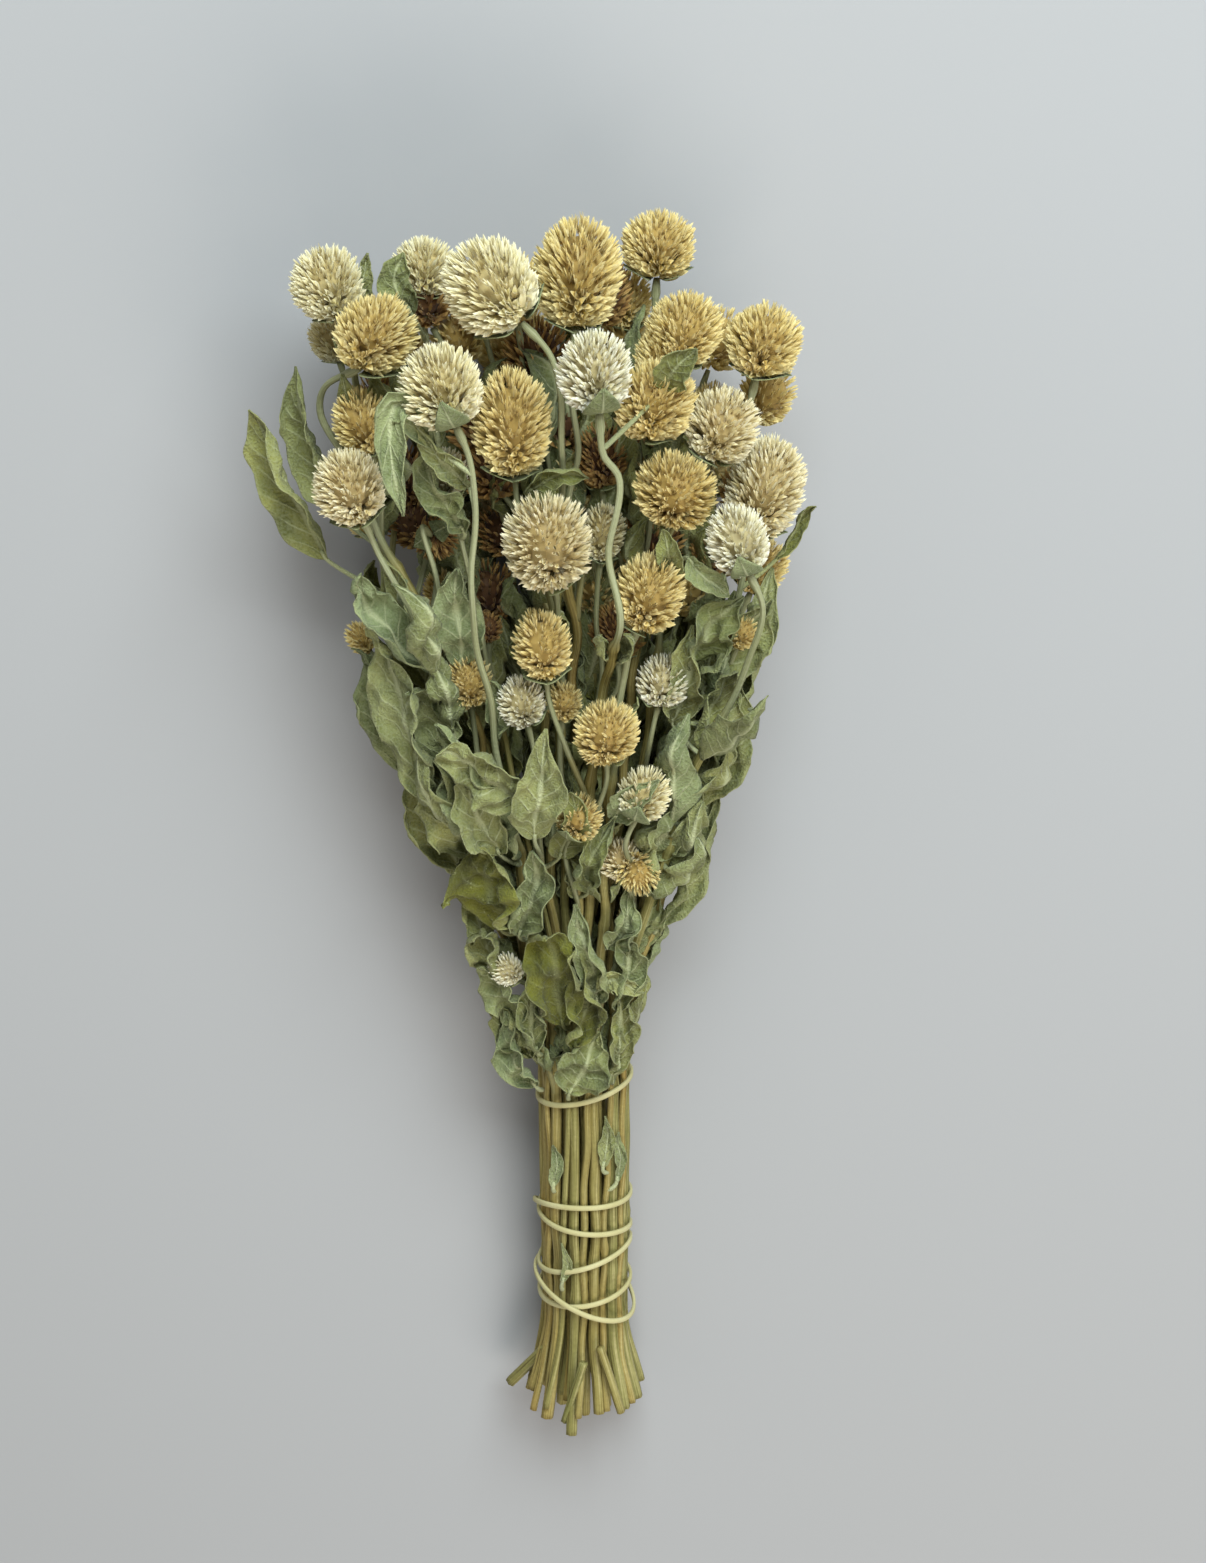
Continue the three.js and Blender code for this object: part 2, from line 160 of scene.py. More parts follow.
# Heads that the frame holds: width, length, the way the head points, and its colour.
HEADS = {
    "head_left_tip": (24, 24, (-0.3, 1, 0.1), "cream"),
    "head_left_upper": (26, 26, (0.5, 1, 0.2), "gold"),
    "head_left_mid": (19, 23, (-0.3, 1, 0.1), "gold"),
    "head_left_low": (24, 25, (-0.35, 1, 0.35), "pale"),
    "head_cream_large": (31, 31, (-0.6, 0.7, 0), "cream"),
    "head_gold_tall": (28, 36, (0.05, 1, 0.05), "gold"),
    "head_top_right": (24, 22, (0.05, 1, 0.05), "gold"),
    "head_right_upper": (25, 24, (0.1, 1, 0.2), "gold"),
    "head_right_tip": (26, 24, (0.2, 1, 0.1), "gold"),
    "head_pale_drooping": (26, 27, (-0.35, 1, 0.15), "cream"),
    "head_gold_oval": (27, 36, (-0.05, 1, 0.2), "gold"),
    "head_cream_bracted": (23, 26, (-0.1, 1, 0.1), "white"),
    "head_gold_broad": (26, 26, (0.15, 1, 0.25), "gold"),
    "head_right_white": (24, 25, (0.3, 1, 0.3), "pale"),
    "head_centre_back": (19, 23, (0, 1, 0), "brown"),
    "head_right_gold": (26, 25, (0.15, 1, 0.75), "gold"),
    "head_right_large": (27, 34, (0.2, 1, 0.15), "pale"),
    "head_right_pale": (21, 24, (-0.35, 1, 0.1), "white"),
    "head_centre_large": (30, 33, (-0.12, 1, 0.7), "pale"),
    "head_centre_right": (24, 27, (0.3, 1, 0.3), "gold"),
    "head_centre_low": (20, 25, (-0.1, 1, 0.3), "gold"),
    "head_brown_back": (19, 20, (0, 1, 0), "brown"),
    "head_low_gold": (22, 23, (0, 1, 0.4), "gold"),
    "head_low_white": (18, 18, (0.2, 1, 0.1), "white"),
    "head_low_right": (19, 19, (0.35, 1, 0.1), "cream"),
    "head_under_left": (26, 27, (-0.2, 1, 0), "gold"),
    "head_under_mid": (28, 30, (-0.05, 1, 0), "gold"),
    "head_under_low": (24, 26, (-0.1, 1, 0), "pale"),
    "head_under_right": (26, 28, (0.05, 1, 0), "gold"),
    "head_under_far": (24, 26, (0.2, 1, 0), "cream"),
}

# Stalks that the frame holds: ring and clock angle in the bundle, where it is cut, its own head, the
# places it passes, and the heads on its side branches with the distance of each fork.
STALKS = {
    "stalk_01": (OUTER, 75, 2, "head_centre_right", [(11, 240, 64)], []),
    "stalk_02": (OUTER, 105, -7, "head_centre_large", [(-5, 250, 55)], []),
    "stalk_03": (OUTER, 45, 1, "head_right_pale", [(34, 251, 65)], []),
    "stalk_04": (
        OUTER, 135, -3, "head_pale_drooping",
        [(-26, 272, 72), (-28.5, 295, 79), (-31, 320, 86), (-33.5, 345, 91)], [],
    ),
    "stalk_05": (OUTER, 15, 0, "head_right_large", [(37, 254, 50)], []),
    "stalk_06": (
        OUTER, 165, 4, "head_left_low",
        [(-36, 262, 61), (-43, 292, 69), (-50, 313, 74), (-60, 340, 80)], [],
    ),
    "stalk_07": (OUTER, -15, -5, "head_right_tip", [(38, 280, 40)], []),
    "stalk_08": (OUTER, 195, 3, "head_left_tip", [(-57, 290, 44)], [("head_left_mid", 330)]),
    "stalk_09": (OUTER, -45, -2, "head_under_far", [(29, 254, 17)], []),
    "stalk_10": (OUTER, 225, -6, "head_under_left", [(-31, 268, 17)], []),
    "stalk_11": (OUTER, -75, 4, "head_under_right", [(11, 267, 14)], []),
    "stalk_12": (OUTER, 255, 0, "head_under_mid", [(-10, 274, 14)], [("head_under_low", 285)]),
    "stalk_13": (
        INNER, 90, -4, "head_cream_bracted",
        [(6, 262, 67), (9, 300, 70), (14, 327, 98), (11, 350, 98), (14, 376, 100)],
        [("head_centre_low", 255), ("head_low_gold", 232)],
    ),
    "stalk_14": (
        INNER, 30, 5, "head_right_gold", [(23, 260, 52)],
        [("head_low_white", 248), ("head_low_right", 215)],
    ),
    "stalk_15": (INNER, -30, 0, "head_right_upper", [(23, 300, 41)], [("head_right_white", 335)]),
    "stalk_16": (INNER, -90, 3, "head_top_right", [(14, 295, 37)], []),
    "stalk_17": (
        INNER, 210, -8, "head_left_upper",
        [(-38, 290, 54), (-64, 350, 67), (-75, 374, 61), (-82, 388, 62), (-80, 398, 67)], [],
    ),
    "stalk_18": (
        INNER, 150, 2, "head_cream_large",
        [(-10, 262, 56), (-7, 318, 65), (-5, 345, 70), (-5, 365, 77), (-4, 385, 87), (-4, 399, 88)],
        [("head_gold_oval", 318)],
    ),
    "stalk_19": (
        0, 0, -1, "head_gold_tall", [(-1, 288, 50)],
        [("head_centre_back", 318), ("head_brown_back", 262)],
    ),
}

WOOLLY = ("stalk_04", "stalk_06", "stalk_08")  # these turn thin and woolly low down
ARCHED = ("stalk_17",)  # these curve over straight into the head

# Smaller heads: middle, width, length, the way it points, colour.
SMALL_HEADS = {
    "small_head_left_pale": ((-79, 409, 38), 17, 17, (-0.2, 1, 0), "cream"),
    "small_head_top_pale": ((-49, 433, 45), 21, 20, (0, 1, 0), "cream"),
    "small_head_top_gold": ((17, 421, 38), 17, 20, (0, 1, 0), "gold"),
    "small_head_centre_pale": ((9, 350, 66), 16, 20, (0.1, 1, 0.2), "cream"),
    "small_head_hollow": ((-46, 345, 58), 15, 14, (0.2, -0.5, -0.9), "brown"),
    "small_head_brown_bud": ((-29, 316, 60), 10, 11, (0, 1, 0.3), "brown"),
    "small_head_left_gold": ((-36, 299, 66), 17, 19, (-0.1, 1, 0.3), "gold"),
    "small_head_white": ((-18, 296, 78), 17, 18, (-0.2, 1, 0.3), "white"),
    "small_head_gold_bud": ((-4, 294, 72), 13, 14, (0.1, 1, 0.3), "gold"),
    "small_head_low_gold": ((1, 254, 74), 17, 15, (0.3, 1, 0.4), "gold"),
    "small_head_low_brown": ((14, 235, 63), 15, 14, (-0.3, 1, 0.2), "pale"),
    "small_head_low_amber": ((21, 230, 66), 16, 14, (0.2, -0.3, 1), "gold"),
    "small_head_right_bud": ((55, 317, 70), 11, 12, (0.3, 1, 0.4), "gold"),
    "small_head_tucked": ((-22, 255, 64), 10, 10, (0, 1, 0.5), "gold"),
    "small_head_left_edge": ((-73, 308, 45), 10, 12, (-0.6, 1, 0), "gold"),
    "small_head_neck_white": ((-25, 190, 54), 12, 13, (-0.8, 0.8, 0.3), "white"),
    "small_head_neck_bud": ((17, 209, 54), 7, 8, (0.1, 1, 0.3), "gold"),
    "small_head_right_back": ((45, 384, 40), 19, 20, (0.2, 1, 0), "gold"),
    "small_head_mid_white": ((-42, 372, 74), 15, 17, (-0.2, 1, 0.2), "white"),
    "small_head_behind_white": ((29, 408, 66), 20, 22, (0.1, 1, 0), "gold"),
    "small_head_side_left": ((-70, 350, 34), 18, 20, (-0.4, 1, 0), "gold"),
    "small_head_side_right": ((63, 330, 36), 18, 20, (0.4, 1, 0), "gold"),
    "small_head_side_low": ((-45, 318, 28), 16, 18, (-0.3, 1, 0), "gold"),
    "small_head_under_low": ((22, 318, 14), 18, 20, (0.1, 1, 0), "gold"),
}


def unit(vector):
    vector = np.asarray(vector, dtype=float)
    return vector / np.linalg.norm(vector)


def head_middle(name):
    low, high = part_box(name)
    return (np.array(low) + np.array(high)) / 2 / MM - SHIFT


def head_seat(middle, length, points):
    return np.asarray(middle, dtype=float) - unit(points) * (length / 2 + GAP)


# Brown old heads deep inside, in rows across the fan, that close the bunch behind the fresh ones. Their dark
# brown is partly painted shade for the depth of the bunch. A row has its place along the bunch, and where it
# begins and ends across it.
INNER_ROWS = ((322, -28, 38), (343, -52, 48), (364, -58, 54), (386, -66, 60), (407, -66, 44), (424, -46, 12))
inner_dice = random.Random(3)
for row, (inner_along, inner_from, inner_to) in enumerate(INNER_ROWS):
    inner_count = 3 if row == 0 else 5
    for k in range(inner_count):
        inner_across = inner_from + (inner_to - inner_from) * k / (inner_count - 1)
        inner_middle = (
            inner_across + inner_dice.uniform(-4, 4),
            inner_along + inner_dice.uniform(-5, 5),
            inner_dice.uniform(34, 50),
        )
        inner_width = inner_dice.uniform(18, 23)
        inner_points = ((inner_across - 2) / 130, 1, inner_dice.uniform(-0.2, 0.2))
        # Two in three take the darkest brown: partly old heads, partly painted shade deep in the bunch.
        inner_tone = inner_dice.choice(("brown", "brown", "gold"))
        SMALL_HEADS[f"inner_head_{row + 1}{k + 1}"] = (
            inner_middle, inner_width, inner_width * 1.08, inner_points, inner_tone,
        )


def between(at, first, last, low, high):
    return ((high - at) * first + (at - low) * last) / (high - low)


def smooth_route(stops, spacing=2.5):
    """A centripetal Catmull-Rom curve through the stops, at even steps."""
    stops = np.asarray(stops, dtype=float)
    stops = np.vstack([2 * stops[0] - stops[1], stops, 2 * stops[-1] - stops[-2]])
    fine = []
    for i in range(1, len(stops) - 2):
        p = stops[i - 1 : i + 3]
        knots = np.concatenate([[0], np.cumsum(np.linalg.norm(np.diff(p, axis=0), axis=1) ** 0.5)])
        t = np.linspace(knots[1], knots[2], CURVE_STEPS, endpoint=False)[:, None]
        a = [between(t, p[j], p[j + 1], knots[j], knots[j + 1]) for j in range(3)]
        b = [between(t, a[j], a[j + 1], knots[j], knots[j + 2]) for j in range(2)]
        fine.append(between(t, b[0], b[1], knots[1], knots[2]))
    fine = np.vstack(fine + [stops[-2][None]])
    run = run_of(fine)
    even = np.linspace(0, run[-1], max(4, int(run[-1] / spacing) + 1))
    return np.column_stack([np.interp(even, run, fine[:, k]) for k in range(3)])


def run_of(route):
    """The distance gone at each step of a route."""
    return np.concatenate([[0], np.cumsum(np.linalg.norm(np.diff(route, axis=0), axis=1))])


def wander(route, amount, chance):
    """Grown unevenness: slow waves to the sides that die out before the upper end."""
    run = run_of(route)
    fade = np.clip((run[-1] - run) / 45, 0, 1) * np.clip(run / 20, 0.3, 1)
    fan = np.clip((route[:, 1] - FAN_ALONG) / 80, 0, 1)
    size = amount * (0.35 + 0.65 * fan) * fade
    out = route.copy()
    for axis in (0, 2):
        for wave in SWAYS:
            sway = size * chance.uniform(-0.6, 0.6)
            out[:, axis] += sway * np.sin(run / wave * FULL_TURN + chance.uniform(0, FULL_TURN))
    return out


def bundle_place(ring, clock, along, spread):
    turn = math.radians(clock)
    across = BUNDLE_ACROSS + ring * spread * math.cos(turn)
    height = bundle_height(along) + ring * spread * math.sin(turn)
    return (across, along, max(height, STALK_RADIUS + 0.5))


def bundle_start(ring, clock, cut, drift=0.0):
    """The places of a stalk in the bundle; drift turns it round the others as it rises."""
    return [
        bundle_place(ring, clock - drift, cut, 1 + CUT_SPLAY),
        bundle_place(ring, clock - drift * 0.6, HEEL_ALONG, 1),
        bundle_place(ring, clock, (HEEL_ALONG + NECK_ALONG) / 2, 1),
        bundle_place(ring, clock + drift * 0.8, NECK_ALONG + PAST_BAND, 1),
        bundle_place(ring, clock + drift, FAN_ALONG, FAN_SPREAD),
    ]


def side_frames(route):
    """The way ahead and two directions across the route at each step, turned as little as possible."""
    along = np.gradient(route, axis=0)
    along /= np.linalg.norm(along, axis=1)[:, None]
    side = unit(np.cross(along[0], (0.3, 0.1, 1.0)))
    sides = []
    for step in along:
        side = unit(side - step * side.dot(step))
        sides.append(side)
    sides = np.array(sides)
    return along, sides, np.cross(along, sides)


class Shape:
    """Points and faces of one piece, gathered before they become a mesh."""

    def __init__(self):
        self.points, self.quads, self.triangles = [], [], []
        self.values = {}
        self.count = 0

    def add(self, points, quads, triangles, **values):
        self.points.append(points)
        self.quads.append(np.asarray(quads, dtype=int).reshape(-1, 4) + self.count)
        self.triangles.append(np.asarray(triangles, dtype=int).reshape(-1, 3) + self.count)
        for key, value in values.items():
            self.values.setdefault(key, []).append(np.broadcast_to(value, len(points)))
        self.count += len(points)

    def build(self, name, material, slot, smooth=True):
        points = to_frame(np.vstack(self.points))
        quads = np.vstack(self.quads)
        triangles = np.vstack(self.triangles)
        corners = np.concatenate([quads.ravel(), triangles.ravel()])
        starts = np.concatenate(
            [np.arange(len(quads)) * 4, len(quads) * 4 + np.arange(len(triangles)) * 3]
        )
        mesh = bpy.data.meshes.new(name)
        mesh.vertices.add(len(points))
        mesh.vertices.foreach_set("co", points.ravel())
        mesh.loops.add(len(corners))
        mesh.loops.foreach_set("vertex_index", corners)
        mesh.polygons.add(len(starts))
        mesh.polygons.foreach_set("loop_start", starts)
        mesh.polygons.foreach_set("use_smooth", np.full(len(starts), smooth))
        for key, value in self.values.items():
            layer = mesh.attributes.new(key, "FLOAT", "POINT")
            layer.data.foreach_set("value", np.concatenate(value).astype(np.float32))
        mesh.update(calc_edges=True)
        mesh.validate()
        mesh.materials.append(material)
        piece = bpy.data.objects.new(name, mesh)
        bpy.context.collection.objects.link(piece)
        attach(piece, "root")
        return piece


STALK_SIDES = 12


def full_round(count):
    """As many angles, evenly all the way round."""
    return np.linspace(0, 2 * math.pi, count, endpoint=False)


def capped_tube(rings, around):
    """Faces of a closed tube. Its points are rings of as many each, then the middles of its two ends."""
    k = np.arange(around)
    after = (k + 1) % around
    rows = np.arange(rings - 1)[:, None] * around
    here, beside = rows + k, rows + after
    sides = np.stack([here, beside, beside + around, here + around], axis=-1).reshape(-1, 4)
    top, first = (rings - 1) * around, np.full(around, rings * around)
    foot_end = np.stack([first, after, k], axis=-1)
    top_end = np.stack([first + 1, top + k, top + after], axis=-1)
    return sides, np.vstack([foot_end, top_end])


def add_rod(shape, route, radius, ridge=0.08, hue=0.5, wool=0.0, flat=0.0):
    """A ridged rod with closed ends along a route. radius and wool may change from step to step."""
    _, side, other = side_frames(route)
    steps = len(route)
    run = run_of(route)
    turn = full_round(STALK_SIDES)
    twist = run[:, None] / 160 + hue * 9
    flute = 1 + ridge * np.cos(turn * 6)[None, :] + flat * np.cos(2 * turn[None, :] + twist)
    reach = np.broadcast_to(radius, steps)[:, None] * flute
    ring = (
        route[:, None, :]
        + side[:, None, :] * (reach * np.cos(turn))[..., None]
        + other[:, None, :] * (reach * np.sin(turn))[..., None]
    )
    points = np.vstack([ring.reshape(-1, 3), route[:1], route[-1:]])
    cut = np.zeros(len(points))
    cut[-2] = 1
    wool = np.broadcast_to(wool, steps)
    shape.add(
        points,
        *capped_tube(steps, STALK_SIDES),
        gone=np.concatenate([np.repeat(run, STALK_SIDES), [0, run[-1]]]) / 100,
        ring_x=np.concatenate([np.tile(np.cos(turn), steps), [0, 0]]),
        ring_y=np.concatenate([np.tile(np.sin(turn), steps), [0, 0]]),
        wool=np.concatenate([np.repeat(wool, STALK_SIDES), [wool[0], wool[-1]]]),
        hue=hue,
        cut=cut,
    )


def node_group(name, inputs, outputs):
    group = bpy.data.node_groups.new(name, "ShaderNodeTree")
    for socket, value in inputs:
        plug = group.interface.new_socket(socket, in_out="INPUT", socket_type="NodeSocketFloat")
        plug.default_value = value
    for socket in outputs:
        group.interface.new_socket(socket, in_out="OUTPUT", socket_type="NodeSocketFloat")
    return group, group.nodes.new("NodeGroupInput"), group.nodes.new("NodeGroupOutput")


def new_node(tree, kind, links=(), **settings):
    """A node with its settings, and with each (input, source socket or value) pair put in."""
    node = tree.nodes.new(kind)
    for key, value in settings.items():
        setattr(node, key, value)
    for socket, source in links:
        if isinstance(source, bpy.types.NodeSocket):
            tree.links.new(source, node.inputs[socket])
        else:
            node.inputs[socket].default_value = source
    return node


def attribute(tree, name):
    return new_node(tree, "ShaderNodeAttribute", attribute_name=name).outputs["Fac"]


def scaled(tree, value, low, high, to_low=0.0, to_high=1.0):
    node = new_node(
        tree,
        "ShaderNodeMapRange",
        [("Value", value), ("From Min", low), ("From Max", high), ("To Min", to_low), ("To Max", to_high)],
    )
    return node.outputs["Result"]


def mixed(tree, share, first, second):
    node = new_node(tree, "ShaderNodeMix", data_type="RGBA")
    for index, source in ((0, share), (6, first), (7, second)):
        if isinstance(source, bpy.types.NodeSocket):
            tree.links.new(source, node.inputs[index])
        else:
            node.inputs[index].default_value = source
    return node.outputs[2]


def maths(tree, operation, *values):
    return new_node(tree, "ShaderNodeMath", list(enumerate(values)), operation=operation).outputs["Value"]


def tinted(tree, colour, share, amount, tint):
    """The colour turned towards a tint, by as much as amount where the share is whole."""
    return mixed(tree, maths(tree, "MULTIPLY", share, amount), colour, tint)


# Blotches of age: a soft large stain and a fine fleck, shared by everything that has dried.
AGE_GROUP, age_in, age_out = node_group(
    "age_blotches", [("Stain Size", 60.0), ("Fleck Size", 900.0)], ["Stain", "Fleck"]
)
age_coords = new_node(AGE_GROUP, "ShaderNodeTexCoord").outputs["Object"]
for age_size, age_output, age_detail in (("Stain Size", "Stain", 3.0), ("Fleck Size", "Fleck", 5.0)):
    age_noise = new_node(
        AGE_GROUP,
        "ShaderNodeTexNoise",
        [("Vector", age_coords), ("Scale", age_in.outputs[age_size]), ("Detail", age_detail)],
    )
    AGE_GROUP.links.new(scaled(AGE_GROUP, age_noise.outputs["Fac"], 0.3, 0.7), age_out.inputs[age_output])


def aged(tree, stain, fleck):
    node = new_node(tree, "ShaderNodeGroup", node_tree=AGE_GROUP)
    node.inputs["Stain Size"].default_value = stain
    node.inputs["Fleck Size"].default_value = fleck
    return node.outputs["Stain"], node.outputs["Fleck"]


def dry_material(name, roughness, sheen=0.0):
    material = bpy.data.materials.new(name)
    material.use_nodes = True
    tree = material.node_tree
    shader = tree.nodes["Principled BSDF"]
    shader.inputs["Roughness"].default_value = roughness
    shader.inputs["Specular IOR Level"].default_value = 0.25
    shader.inputs["Sheen Weight"].default_value = sheen
    shader.inputs["Sheen Roughness"].default_value = 0.6
    return material, tree, shader


def raise_surface(tree, shader, height, strength, distance):
    bump = new_node(
        tree, "ShaderNodeBump", [("Height", height), ("Strength", strength), ("Distance", distance)]
    )
    tree.links.new(bump.outputs["Normal"], shader.inputs["Normal"])


def make_stalk_material():
    """Olive or straw gold with brown streaks, grey wool on the thin flower stalks and pale cut pith."""
    material, tree, shader = dry_material("dried_stalk", 0.6)
    stain, fleck = aged(tree, 38.0, 700.0)
    hue = attribute(tree, "hue")
    colour = mixed(tree, hue, (0.2, 0.2, 0.055, 1), (0.4, 0.27, 0.07, 1))
    colour = tinted(tree, colour, stain, 0.6, (0.36, 0.32, 0.11, 1))
    # Long fibres: fine streaks round the stalk, drawn out along it.
    streak_at = new_node(
        tree,
        "ShaderNodeCombineXYZ",
        [("X", attribute(tree, "ring_x")), ("Y", attribute(tree, "ring_y")), ("Z", attribute(tree, "gone"))],
    ).outputs["Vector"]
    streak = new_node(
        tree, "ShaderNodeTexNoise", [("Vector", streak_at), ("Scale", 3.2), ("Detail", 5.0)]
    ).outputs["Fac"]
    pale_fibre = scaled(tree, streak, 0.5, 0.72)
    dark_fibre = scaled(tree, streak, 0.46, 0.3)
    colour = tinted(tree, colour, pale_fibre, 0.75, (0.56, 0.48, 0.22, 1))
    colour = tinted(tree, colour, dark_fibre, 0.8, (0.08, 0.05, 0.012, 1))
    colour = tinted(tree, colour, fleck, 0.25, (0.12, 0.1, 0.03, 1))
    wool = attribute(tree, "wool")
    # Wool lies in pale strands, with the olive skin showing between them.
    strand = maths(tree, "MULTIPLY", wool, scaled(tree, streak, 0.36, 0.6, 0.35, 1.0))
    skin = mixed(tree, wool, colour, (0.2, 0.21, 0.075, 1))
    colour = tinted(tree, skin, strand, 0.72, (0.42, 0.42, 0.25, 1))
    colour = mixed(tree, attribute(tree, "cut"), colour, (0.66, 0.6, 0.36, 1))
    tree.links.new(colour, shader.inputs["Base Color"])
    raise_surface(tree, shader, maths(tree, "ADD", streak, maths(tree, "MULTIPLY", fleck, 0.4)), 0.7, 0.0005)
    return material


stalk_material = make_stalk_material()
dice = random.Random(11)
stalk_chance = np.random.default_rng(11)
routes = {}


def stalk_radii(route, foot, upper, tip, crown, joints, swell=JOINT_SWELL):
    """Thins from foot to crown, then to a flower stalk, with a swollen knuckle at each joint."""
    run = run_of(route)
    share = run / run[-1]
    radius = np.interp(share, [0, crown, crown + 0.015, 1], [foot, upper, tip + 0.1, tip])
    for joint in joints:
        radius = radius + swell * np.exp(-(((run - joint * run[-1]) / JOINT_LENGTH) ** 2))
    return radius, np.clip((share - crown) / 0.03, 0, 1)


def add_flower_stalk(shape, start, seat, points, hue):
    """A thin woolly stalk from a fork on a main stalk up to the seat of a head."""
    approach = seat - unit(points) * SIDE_HEAD_RUN
    middle = start * 0.45 + approach * 0.55 + np.array([dice.uniform(-2.5, 2.5), 0, 1.0])
    route = smooth_route([start, middle, approach, seat], 2.0)
    thin = PEDUNCLE_RADIUS
    radius, wool = stalk_radii(route, thin + 0.1, thin, thin - 0.15, 0.4, [0.02, 0.99], 0.4)
    add_rod(shape, route, radius, 0.05, hue, 0.35 + 0.65 * wool, 0.06)


for name, (ring, clock, cut, head, via, forks) in STALKS.items():
    shape = Shape()
    _, length, points, _ = HEADS[head]
    seat = head_seat(head_middle(head), length, points)
    approach = [] if name in ARCHED else [seat - unit(points) * HEAD_RUN]
    stops = [*bundle_start(ring, clock, cut), *via, *approach, seat]
    route = wander(smooth_route(stops), 1.6, stalk_chance)
    routes[name] = route
    hue = dice.random()
    crown = WOOLLY_FROM if name in WOOLLY else dice.uniform(0.78, 0.84)
    joints = [dice.uniform(0.08, 0.2), dice.uniform(0.38, 0.46), dice.uniform(0.58, 0.68), crown, 0.99]
    foot = STALK_RADIUS * dice.uniform(0.82, 1.04)
    radius, wool = stalk_radii(route, foot, UPPER_RADIUS, PEDUNCLE_RADIUS, crown, joints)
    add_rod(shape, route, radius, 0.07, hue, wool, 0.08)
    for branch_head, fork in forks:
        _, length, points, _ = HEADS[branch_head]
        start = route[np.argmin(np.abs(route[:, 1] - fork))]
        add_flower_stalk(shape, start, head_seat(head_middle(branch_head), length, points), points, hue)
    piece = shape.build(name + "_grown", stalk_material, "dried_stalk")
    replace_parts(piece, name)

# Thinner stalks fill the bundle between the rings of main ones, and a few lie just outside: ring, clock
# angle, drift round the bundle, radius.
spare = (
    [(10.75, 60 * k, dice.uniform(-8, 8), dice.uniform(1.5, 1.85)) for k in range(6)]
    + [(15.3, 30 * k, dice.uniform(-14, 14), dice.uniform(1.15, 1.5)) for k in range(12)]
    + [(3.6, 60 * k + 30, dice.uniform(-20, 20), 1.1) for k in range(6)]
)
# Each goes to the small head, among those far up the bunch, that lies nearest its own side of the fan.
FAN_MIDDLE, FAN_REACH = np.array([0, 48]), np.array([70, 40]) / 15  # across and up
OWN_STALK_ABOVE = 290
own_stalk = {}
for ring, clock, drift, radius in spare:
    turn = math.radians(clock)
    wish = FAN_MIDDLE + FAN_REACH * ring * np.array([math.cos(turn), math.sin(turn)])
    free = [n for n in SMALL_HEADS if n not in own_stalk and SMALL_HEADS[n][0][1] > OWN_STALK_ABOVE]
    best = min(free, key=lambda n: np.hypot(*(np.array(SMALL_HEADS[n][0])[[0, 2]] - wish)))
    own_stalk[best] = (ring, clock, drift, radius)

for name, (middle, _, length, points, _) in SMALL_HEADS.items():
    seat = head_seat(middle, length, points)
    shape = Shape()
    hue = dice.random()
    if name in own_stalk:
        ring, clock, drift, radius = own_stalk[name]
        start = bundle_start(ring, clock, dice.uniform(-7, 6), drift)
        halfway = np.array(start[-1]) * 0.5 + seat * 0.5
        stops = [*start, halfway, seat - unit(points) * SIDE_HEAD_RUN, seat]
        route = wander(smooth_route(stops), 1.8, stalk_chance)
        radii, wool = stalk_radii(route, radius, radius * 0.85, 0.85, 0.78, [0.2, 0.5, 0.78, 0.99], 0.4)
        add_rod(shape, route, radii, 0.07, hue, wool, 0.1)
        routes[name] = route
    else:
        # It grows from the nearest main stalk, at a fork some way below the closest place.
        near = []
        for host in STALKS:
            below = routes[host][routes[host][:, 1] < seat[1] - FORK_BELOW]
            if len(below):
                distance = np.linalg.norm(below - seat, axis=1)
                near.append((distance.min(), tuple(below[max(0, distance.argmin() - FORK_STEPS_BACK)])))
        add_flower_stalk(shape, np.array(min(near)[1]), seat, points, hue)
    shape.build(name + "_stalk", stalk_material, "dried_stalk")

# Short broken stubs at the cut end: one juts out to the side, and two lie aslant in front. A stub has its
# hidden end, its free end and its radius.
STUBS = (
    ((-12, 22, 24), (-26, 1, 14), 1.9),
    ((2, 24, 39), (-5, -3, 36), 1.5),
    ((8, 30, 38), (16, 4, 41), 1.6),
)
for number, (hidden_end, free_end, radius) in enumerate(STUBS, 1):
    shape = Shape()
    route = smooth_route([free_end, (np.array(hidden_end) + free_end) / 2, hidden_end], 2.0)
    add_rod(shape, route, radius, 0.08, dice.random(), 0.0, 0.1)
    shape.build(f"cut_stub_{number}", stalk_material, "dried_stalk")


# ---------------------------------------------------------------------------
# Flower heads. Each is a globe of dry papery bracts: every floret is a pair of stiff keeled scales with
# sharp tips, packed in spirals on a small woody core, straw gold to cream, with painted shade darkening them
# where they crowd inwards.

TONES = {
    # inner (partly painted shade at the bracts' feet), body and tip colour
    "gold": ((0.36, 0.23, 0.055), (0.82, 0.65, 0.23), (0.94, 0.83, 0.44)),
    "pale": ((0.42, 0.3, 0.11), (0.88, 0.77, 0.42), (0.97, 0.92, 0.7)),
    "cream": ((0.42, 0.32, 0.12), (0.87, 0.78, 0.42), (0.97, 0.93, 0.7)),
    "white": ((0.42, 0.34, 0.15), (0.85, 0.79, 0.5), (0.96, 0.95, 0.84)),
    "brown": ((0.06, 0.02, 0.004), (0.38, 0.2, 0.05), (0.6, 0.4, 0.13)),
}
BRACT_LONG, BRACT_WIDE = 6.4, 1.42  # at the belt of a head
BRACT_STATIONS = np.array([0.0, 0.35, 0.66, 0.88, 1.0])
BRACT_WIDTHS = np.array([0.5, 1.0, 0.8, 0.4, 0.0])
FLORETS = (44, 460)  # fewest and most on a head
